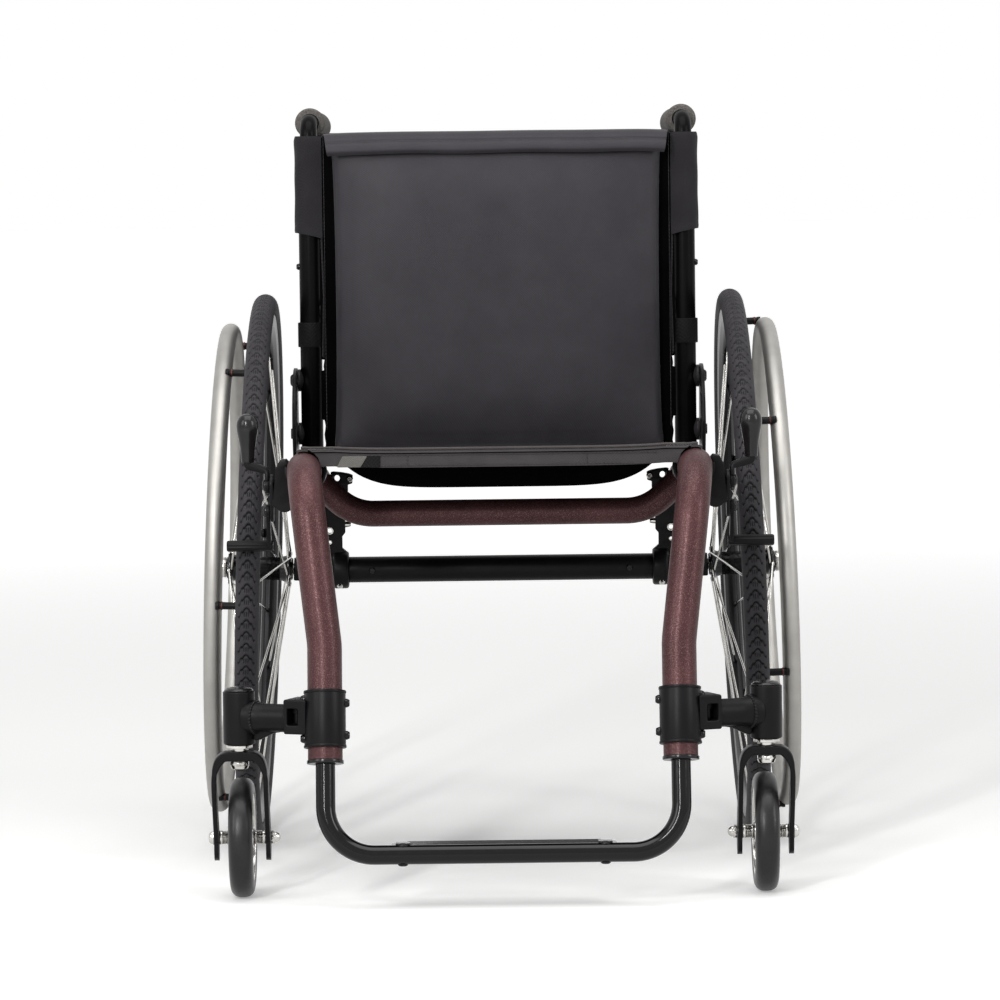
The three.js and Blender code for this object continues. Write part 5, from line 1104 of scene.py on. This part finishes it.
def build_hinges():
    """Hinge plate outside the rail, with the slot that the stop pin runs in as the back folds."""
    y, z = BACK_Y, PIVOT_Z
    foot = RAIL_REAR[2] - 13
    corners = [(28, z + 2), (14, 416), (14, foot), (100, foot), (100, z), (88, z + 52)]
    outline = np.concatenate([rounded(corners, 9, 8)[1:-1], arc(y, z, 72, 78, 172, 26)])
    pin_deg = 3.8 / STOP_PIN_UP / DEG
    slot = np.concatenate([arc(y, z, STOP_PIN_UP + 3.5, 90 - pin_deg, 155 + pin_deg, 26),
                           arc(y, z, STOP_PIN_UP - 3.5, 155 + pin_deg, 90 - pin_deg, 26)])
    middle = HINGE_X + 2
    body = plate(outline, 4, Y_AXIS, Z_AXIS, (middle, 0, 0), [slot, circle(y, z, 4.6)], 0.7)
    pair("hinge_plate_body", [body], BLACK_COAT, "frame", "black_coat", "back_hinge_plate_{}")
    bolts = [cap_screw((HINGE_X + 3.9, y, rail_at(y)[2]), X_AXIS, 6.8, 3.6) for y in (28, 86)]
    pair("hinge_plate_bolts", bolts, STEEL, "frame", "steel")
    cone = [(0, -10.4), (5, -10.4), (11.9, -3.6), (12.2, -3.2), (12.2, -0.5), (0, -0.5)]
    for name, node, up, shank in (("pivot_fitting", "back_pivot_pin_{}", 0, 4),
                                  ("stop_fitting", "back_stop_pin_{}", STOP_PIN_UP, 3)):
        seat = np.array([HINGE_X, y, z + up])
        top = seat + X_AXIS * 4.5
        head = cap_screw(top, X_AXIS, 6.8, 3.4) if up else hex_nut(top, X_AXIS, 6.4, 3.5)
        pin = bar(seat - X_AXIS * 20, seat + X_AXIS * 5, shank)
        shapes = [lathe(cone, seat, X_AXIS, 40, 0.4), pin, head]
        pair(name, shapes, DARK_NYLON, "backrest", "black_coat", node)


def build_canes():
    """Canes with their height button, bent necks and foam grips, and the cross bar between them."""
    foot = np.array([CANE_X, BACK_Y, CANE_FOOT_Z])
    tall = CANE_TOP_Z - CANE_FOOT_Z
    lower = [(0, 0), (CANE_R, 0), (CANE_R, tall - 2), (NECK_R, tall + 1), (0, tall + 1)]
    corner = np.array([CANE_X, BACK_Y, NECK_Z])
    neck = rounded([foot + Z_AXIS * 320, corner, NECK_END], 24, 16)
    pair("cane_tubing", [lathe(lower, foot, Z_AXIS, 48, 0.8), sweep(neck, NECK_R, X_AXIS, 40)], CANE_BLACK,
         "backrest", "black_gloss", "back_cane_{}")
    button = cap_screw((CANE_X + CANE_R - 0.6, BACK_Y, CANE_BUTTON_Z), X_AXIS, 3.7, 3.6)
    pair("cane_buttons", [button], BLACK_GLOSS, "backrest", "black_gloss")
    way = unit(NECK_END - corner)
    start = corner + way * 25
    skin = smooth([(14.4, 0), (16.1, 1.8), (16.4, 4.5), (16.2, 30), (15.7, 60), (16.2, 96), (16.0, 107),
                   (13, 112), (8, 114), (0, 114)], 5)
    grip = np.concatenate([skin, [(0, 106), (10.1, 106), (10.1, 0)]])
    pair("grip_foam", [lathe(grip, start, way, 56, 0, True)], GRIP_FOAM, "backrest", "grip_foam",
         "push_grip_{}")
    end = np.array([CANE_X - CANE_R + 1, BACK_Y + 4, RAIL_REAR[2] + 188])
    piece("rear_cross_bar", [bar(end * FLIP, end, 9, 36)], CANE_BLACK, "backrest", "black_gloss",
          "back_cross_bar")
    collar = pipe(end - X_AXIS * 9, end + X_AXIS * 1.5, 11.2, 9, 40, 1.0)
    pair("rear_cross_collars", [collar], HANDLE_PLASTIC, "backrest", "black_coat")


def build_back_sheet():
    """The cloth between the canes, which sags a little. Where it isn't laced to them, its edge is
    drawn in to 190.8 + 0.7 sin(z / 3)."""
    rows = [np.linspace(CLOTH_LOW_Z - 16, CLOTH_HIGH_Z, 70)]
    rows += [[end - 0.4, end + 0.4] for end in (LACE_GAPS[0][1], *LACE_GAPS[1])]
    z = np.sort(np.concatenate(rows))[:, None]
    half = np.full_like(z, BACK_CLOTH_HALF)
    for low, high in LACE_GAPS:
        half = np.where((z > low) & (z < high), BACK_OPEN_HALF + 0.7 * np.sin(z / 3), half)
    across = np.linspace(-1, 1, 41)[None]
    up = (z - CLOTH_LOW_Z) / (CLOTH_HIGH_Z - CLOTH_LOW_Z)
    sag = 1.2 * (1 - across ** 2) * np.sin(np.pi * up)
    surface = np.stack([across * half, CLOTH_Y + 0.6 + sag, z + 0 * across], -1)
    # The sheet is near black, darker than the same cloth in the sleeves: painted shade from the pad in front
    # of it.
    return piece("back_cloth", [shell(surface, 2.0)], PAINTED_SHADE_CLOTH, "backrest", "upholstery", "back_upholstery",
                 sharp_deg=60)


def build_sleeves():
    """Sleeves sewn round the canes' tops, with slight puckers, and the straps round the canes below."""
    t = np.linspace(-90, 240, 56)[None] * DEG
    flap = np.linspace(BACK_OPEN_HALF - 0.3, CANE_X, 9)[None, :-1]
    high = np.linspace(0, 1, 40)[:, None]
    pucker = 0.25 * np.sin(5 * t + 8 * high) + 0.3 * np.sin(14 * high + 2 * t)
    hem = 0.5 * np.exp(-((high - 0.02) / 0.03) ** 2)
    r = 15.0 + pucker + hem - 1.6 * np.clip((high - 0.93) / 0.07, 0, 1) ** 2
    x = np.concatenate([flap + 0 * high, CANE_X + r * np.cos(t)], 1)
    y = np.concatenate([BACK_Y - r[:, :1] + 0 * flap, BACK_Y + r * np.sin(t)], 1)
    out = np.clip((x - BACK_OPEN_HALF + 0.3) / 30, 0, 1)
    low_edge = SLEEVE_LOW_Z - 4.5 + 7.5 * out ** 0.7 + 3 * np.clip((y - BACK_Y) / 15, 0, 1)
    z = low_edge + (SLEEVE_HIGH_Z - low_edge) * high
    pair("back_sleeves", [shell(np.stack([x, y, z], -1), 1.6)], BACK_CLOTH, "backrest", "upholstery")
    wrap = np.insert(circle(CANE_X, BACK_Y, 13.4, 64), 2, STRAP_Z, axis=1)
    loop = sweep(wrap, 1, Z_AXIS, section=band(27, 1.8), closed=True)
    pair("back_wrap_straps", [loop], WEBBING, "backrest", "upholstery")


def build_back_straps():
    """Straps behind the cloth, each with the tail that closes it, and the threads, bindings and piping
    of the whole backrest."""
    x = np.linspace(-186, 186, 60)
    y = CLOTH_Y + 3.6 + 1.2 * (1 - (x / 186) ** 2)
    straps, seams = [], []
    for h in STRAP_HEIGHTS:
        line = np.column_stack([x, y, 0 * x + h])
        straps.append(sweep(line, 1, Z_AXIS, section=band(34, 1.8)))
        straps.append(sweep(line[24:44] + [0, 1.9, 0], 1, Z_AXIS, section=band(32, 1.6)))
        for end, side in ((line[0], 1), (line[-1], -1)):
            seams.append(stitches(end + [[side * 4, 1.2, -15], [side * 4, 1.2, 15]], Y_AXIS))
    piece("back_tension_straps", straps, WEBBING, "backrest", "upholstery")
    face_y = CLOTH_Y - 0.7
    for side in (-1, 1):
        curved = [(side * 192.2, face_y, 524), (side * 190.4, face_y, 590), (side * 192.2, face_y, 652)]
        seams.append(stitches(curved, -Y_AXIS))
        seams.append(stitches([(side * 188.5, face_y, 444), (side * 188.5, face_y, 764)], -Y_AXIS))
    edge = [(BACK_OPEN_HALF, face_y, 523), (189.6, face_y - 0.3, 590), (191.2, face_y, 655)]
    strip = sweep(smooth(edge, 12), 1, Y_AXIS, section=band(5.4, 1.0))
    pair("back_binding", [strip], BACK_CLOTH, "backrest", "upholstery")
    piece("back_stitching", seams, THREAD, "backrest", "upholstery")
    top = [(x, CLOTH_Y + 0.6, CLOTH_HIGH_Z + 0.3) for x in (-192, -64, 64, 192)]
    piece("back_top_piping", [sweep(top, 1.9, Z_AXIS, 12)], WEBBING, "backrest", "upholstery")


def build_back_cloth():
    cloth = build_back_sheet()
    build_sleeves()
    build_back_straps()


def pad_start():
    """The pad before it is stuffed: a flat back and a crowned front whose swell across and up is the
    cube root of 1 - |share|^6, with its sides drawn in between the corners."""
    spread = np.sin(np.pi / 2 * np.linspace(-1, 1, 61))
    across, up = spread[None], spread[:, None]
    mid, half_z = (PAD_LOW_Z + PAD_HIGH_Z) / 2, (PAD_HIGH_Z - PAD_LOW_Z) / 2 - 2
    half_x = PAD_HALF - 2.5 - 2.5 * (1 - up ** 2)
    z = mid + (half_z - 2.5 * (1 - across ** 2)) * up
    crown = np.cbrt(1 - np.abs(across) ** 6) * np.cbrt(1 - np.abs(up) ** 6)
    x = half_x * across + 0 * up
    front = np.stack([x, PAD_REAR_Y - 16 - (PAD_THICK - 20) * crown, z + 0 * x], -1)
    rear = np.stack([x, PAD_REAR_Y - 1.0 + 0 * x, z + 0 * x], -1)
    return slab(front, rear)


def stuffed(shape, voxel, cap):
    """A padded shape blown up by cloth simulation: remeshed evenly, its back sewn down, pushed out by
    pressure for twenty steps, with each point's travel held to cap and then, as the foam inside is
    stiffer than its cover, evened out: forty times, each point takes the mean of its neighbours."""
    mesh = clean_mesh("stuffing", shape[0] * MM, shape[1].tolist())
    made = bpy.data.objects.new("stuffing", mesh)
    bpy.context.scene.collection.objects.link(made)
    remesh = made.modifiers.new("remesh", "REMESH")
    remesh.mode = "VOXEL"
    remesh.voxel_size = voxel * MM
    depsgraph = bpy.context.evaluated_depsgraph_get()
    even = bpy.data.meshes.new_from_object(made.evaluated_get(depsgraph))
    made.modifiers.clear()
    made.data = even
    rest = coordinates(even)
    faces = [tuple(face.vertices) for face in even.polygons]
    cloth = made.modifiers.new("cloth", "CLOTH")
    cloth.settings.use_pressure = True
    cloth.settings.uniform_pressure_force = 4
    cloth.settings.effector_weights.gravity = 0
    cloth.settings.quality = 5
    sewn = rest[:, 1] > (PAD_REAR_Y - 4) * MM
    made.vertex_groups.new(name="sewn").add(np.flatnonzero(sewn).tolist(), 1, "REPLACE")
    cloth.settings.vertex_group_mass = "sewn"
    for step in range(1, 21):
        bpy.context.scene.frame_set(step)
    depsgraph = bpy.context.evaluated_depsgraph_get()
    travel = coordinates(made.evaluated_get(depsgraph).to_mesh()) - rest
    length = np.linalg.norm(travel, axis=1, keepdims=True)
    travel *= np.minimum(1, cap * MM / np.maximum(length, 1e-9))
    ends = np.empty(len(even.edges) * 2, np.int32)
    even.edges.foreach_get("vertices", ends)
    ends = ends.reshape(-1, 2)
    neighbours = np.bincount(ends.ravel(), minlength=len(rest))[:, None]
    for _ in range(40):
        total = np.zeros_like(travel)
        np.add.at(total, ends[:, 0], travel[ends[:, 1]])
        np.add.at(total, ends[:, 1], travel[ends[:, 0]])
        travel = np.where(sewn[:, None], 0, total / neighbours)
    rest = rest + travel
    bpy.context.scene.frame_set(1)
    bpy.data.objects.remove(made)
    points = rest / MM
    points[:, 1] = np.minimum(points[:, 1], PAD_REAR_Y)
    return points, faces


def build_pad():
    """The stuffed pad, tucked under the back cloth's top edge, which folds forward over it."""
    points, faces = stuffed(pad_start(), 5.0, 7.0)
    fold = smooth([(58.6, 765.6), (52, 767.9), (40, 767.2), (30.5, 761.6), (24.8, 754.5), (23.0, 749),
                   (25.4, 745)], 8)
    room = np.interp(points[:, 2], fold[::-1, 1], fold[::-1, 0]) + 1.8
    tucked = (points[:, 2] > 744) & (points[:, 1] < room)
    points[tucked, 1] = room[tucked]
    points[:, 1] = np.clip(points[:, 1], PAD_REAR_Y - PAD_THICK - 6, PAD_REAR_Y)
    points[:, 2] = np.minimum(points[:, 2], PAD_HIGH_Z - 2.4)
    pad = piece("back_pad", [(points, faces)], PAD_CLOTH, "backrest", "upholstery", "back_cushion",
                sharp_deg=180)
    finer = pad.modifiers.new("finer", "SUBSURF")
    finer.levels = finer.render_levels = 1

    down = np.linspace(0, 1, len(fold))[:, None]
    across = np.linspace(-1, 1, 81)[None]
    seam = np.exp(-((fold[:, 1:] - PAD_SEAM_Z) / 1.5) ** 2)
    x = across * (190.5 - 7.5 * down ** 0.7)
    y = fold[:, :1] + 1.8 * seam + 3 * down * across ** 12
    z = fold[:, 1:] + 0.5 * down * np.sin(9 * across) - 1.5 * across ** 10
    surface = np.stack(np.broadcast_arrays(x, y, z), -1)
    stitch = surface[np.abs(fold[:, 1] - PAD_SEAM_Z).argmin()] + [0, -1.2, 0]
    edge = piece("back_top_fold", [shell(surface, 1.6)], PAD_CLOTH, "backrest", "upholstery", sharp_deg=60)
    seam = piece("back_fold_stitching", [stitches(stitch, -Y_AXIS)], THREAD, "backrest", "upholstery")


# Wheel locks

def build_locks():
    """Lock bracket on the rail, with the two bolts that lever and shoe turn on."""
    rail = rail_at(LOCK_Y)
    outline = np.concatenate([arc(rail[0], rail[2], 19.4, 28, -50, 14), [(211.4, 399)],
                              arc(219.6, 390.5, 10, 160, 318, 16),
                              [(232.2, 387.5), (232.8, 393), (228.6, 425), (224.4, 433), (218, 434)]])
    block = plate(rounded(outline, 0.8, 2, True), 29, X_AXIS, Z_AXIS, (0, LOCK_Y, 0), bevel=1.2)
    mount = np.concatenate([arc(LEVER_PIVOT[1], LEVER_PIVOT[2], 11, 0, 180),
                            arc(SHOE_PIVOT[1], SHOE_PIVOT[2], 11, 180, 360)])
    side = plate(mount, 3.5, Y_AXIS, Z_AXIS, (LOCK_OUTER_X + 1.7, 0, 0), bevel=0.6)
    pair("lock_bracket", [block, side, saddle(LOCK_Y - 15, LOCK_Y + 15, 21.5)], BLACK_COAT, "frame",
         "black_coat", "lock_clamp_{}")
    pins = []
    for spot in (LEVER_PIVOT, SHOE_PIVOT):
        seat = np.array([LOCK_OUTER_X + 3, spot[1], spot[2]])
        pins += [bar(seat, seat + X_AXIS * 5.6, 3.9, 24), cap_screw(seat + X_AXIS * 5.4, X_AXIS, 6, 2.6)]
    pair("lock_bolts", pins, BLACK_GLOSS, "frame", "black_gloss")


def build_levers():
    """Lever: a flat strap cranked outwards and twisted thicker, with a pear-shaped knob on its rod."""
    middle = LOCK_LAYER_X + LOCK_LAYER / 2
    y, z = LEVER_PIVOT[1:]
    eye = pipe((LOCK_LAYER_X, y, z), (LOCK_LAYER_X + LOCK_LAYER, y, z), 8.2, 4.4, 36, 0.6)
    corners = [(middle, y, z + 5.5), (middle, y, z + 15), (KNOB_X - 4, y, KNOB_Z - 4.5),
               (KNOB_X, y, KNOB_Z - 3.5), (KNOB_X, y, KNOB_Z + 4)]
    line = rounded(corners, [0, 5, 5, 3, 0], 6)
    thicker = 1 + 0.9 * np.clip((line[:, 2] - z - 11) / 7, 0, 1)
    strap = sweep(line, np.column_stack([1 / thicker ** 0.4, thicker]), Y_AXIS, section=band(15.6, 4.4))
    rod = bar((KNOB_X, y, KNOB_Z - 4), (KNOB_X, y, KNOB_Z + 24), 3.6, 24)
    pair("lock_strap", [eye, strap, rod], BLACK_COAT, "lock_lever_{}", "black_coat", "lock_lever_{}")
    pear = smooth([(6.6, 0), (7.0, 5), (7.7, 14), (9.6, 25), (11.2, 34), (10.6, 41.4), (7.2, 47),
                   (2.6, 49.2), (0, 49.4)], 5)
    knob = np.concatenate([[(0, 24.4), (4.2, 24.4), (4.2, 0)], pear])
    pair("lock_knob_body", [lathe(knob, (KNOB_X, y, KNOB_Z), Z_AXIS, 44)], HANDLE_PLASTIC, "lock_lever_{}",
         "lever_plastic", "lock_knob_{}")


def build_shoes():
    """Arm down to the tyre, and the shoe across it, a bar with twelve ribs: its radius is 5.8 times
    1 - 0.07 (0.5 + 0.5 cos 12 t)^0.6, less at its rounded ends."""
    y, z = SHOE_PIVOT[1:]
    tip = np.array([LOCK_LAYER_X, y + 23, z - 37])
    spot = np.array([y, z])
    way = unit(tip[1:] - spot)
    side = np.array([-way[1], way[0]]) * 7
    arm = [spot + side, spot - side, tip[1:] - side * 0.9, tip[1:] + side * 0.9]
    arm = plate(rounded(arm, 4, 5, True), LOCK_LAYER, Y_AXIS, Z_AXIS, (LOCK_LAYER_X + LOCK_LAYER / 2, 0, 0),
                bevel=0.7)
    eye = pipe((LOCK_LAYER_X, y, z), (LOCK_LAYER_X + LOCK_LAYER, y, z), 7.2, 4.4, 36, 0.6)
    t = np.linspace(0, 2 * np.pi, 96, endpoint=False)
    flute = 1 - 0.07 * (0.5 + 0.5 * np.cos(12 * t)) ** 0.6
    section = np.column_stack([flute * np.cos(t), flute * np.sin(t)])
    ends = np.array([[LOCK_LAYER_X - 1.6, *tip[1:]], [HUB[0] + 19.5, *tip[1:]]])
    steps = np.array([0, 0.6, 1.8, 45.4, 46.6, 47.2]) / 47.2
    line = ends[0] + (ends[1] - ends[0]) * steps[:, None]
    shoe = sweep(line, np.array([4.6, 5.4, 5.8, 5.8, 5.4, 4.6]), Y_AXIS, section=section)
    pair("lock_shoe_body", [arm, eye, shoe], BLACK_COAT, "lock_shoe_{}", "black_coat", "lock_shoe_{}")


build_rear_wheels()
build_axles()
build_frame()
build_camber_tube()
build_axle_brackets()
build_caster_clamps()
build_caster_arms()
build_forks()
build_caster_wheels()
build_footrest()
build_seat()
build_hinges()
build_canes()
build_back_cloth()
build_pad()
build_locks()
build_levers()
build_shoes()


# Floor, light and camera

def build_studio():
    """A pale floor that keeps the object's shadow and brightens to white with distance, white
    surroundings for the camera and for what reflects, and large soft lamps."""
    finish, tree, surface, place = material("pale_studio_floor", {"Base Color": "#E4E4E3", "Roughness": 0.9,
                                                                  "Specular IOR Level": 0.1})
    away = add(tree, "VectorMath", {0: place}, "Value", operation="LENGTH")
    glow = add(tree, "MapRange", {"Value": away, "From Min": 0.9, "From Max": 5.0,
                                  "To Min": 0.28, "To Max": 0.85})
    wire(tree, surface["Emission Color"], "#FFFFFF")
    wire(tree, surface["Emission Strength"],
         add(tree, "Math", {0: white_rays(tree), 1: glow}, operation="MULTIPLY"))
    reach = 60.0
    corners = np.array([(*corner, 0) for corner in box_ring(-reach, -reach, reach, reach)])
    mesh = bpy.data.meshes.new("studio_floor")
    mesh.from_pydata(corners.tolist(), [], [(0, 1, 2, 3)])
    mesh.materials.append(finish)
    floor = bpy.data.objects.new("studio_floor", mesh)
    bpy.context.scene.collection.objects.link(floor)

    world = bpy.data.worlds.new("studio_world")
    bpy.context.scene.world = world
    world.use_nodes = True
    tree = world.node_tree
    background = tree.nodes["Background"].inputs
    wire(tree, background["Strength"],
         add(tree, "MapRange", {"Value": white_rays(tree), "To Min": 0.16, "To Max": 1.0}))
    wire(tree, background["Color"], "#FFFFFF")

    def lamp(name, place, target, width, height, power):
        data = bpy.data.lights.new(name, "AREA")
        data.shape = "RECTANGLE"
        data.size, data.size_y, data.energy = width, height, power
        made = bpy.data.objects.new(name, data)
        made.location = place
        made.rotation_euler = (Vector(target) - Vector(place)).to_track_quat("-Z", "Y").to_euler()
        bpy.context.scene.collection.objects.link(made)

    lamp("top_softbox", (0, -0.8, 3.2), (0, 0, 0.4), 3.0, 2.4, 72)
    lamp("left_softbox", (-2.6, -2.2, 1.9), (0, 0, 0.45), 1.2, 2.0, 36)
    lamp("right_softbox", (2.8, -1.8, 1.7), (0, 0, 0.45), 0.9, 1.8, 34)
    lamp("front_strip", (-1.0, -3.2, 1.7), (0, 0, 0.4), 0.14, 1.6, 58)


def build_camera():
    """The photograph's camera: far away, at the height of the backrest's top, looking a little down,
    and rolled a little."""
    distance, height, pitch, roll, lens = 5600, 729, 3.685 * DEG, 0.7 * DEG, 186.1
    data = bpy.data.cameras.new("camera")
    data.lens = lens
    data.sensor_width = 36
    data.clip_end = 80
    made = bpy.data.objects.new("camera", data)
    look = Matrix.Rotation(math.pi / 2 - pitch, 4, "X") @ Matrix.Rotation(-roll, 4, "Z")
    made.matrix_world = Matrix.Translation((0, AXLE_Y - distance * MM, height * MM)) @ look
    bpy.context.scene.collection.objects.link(made)
    bpy.context.scene.camera = made


build_studio()
build_camera()
bpy.context.scene.view_settings.view_transform = "Standard"
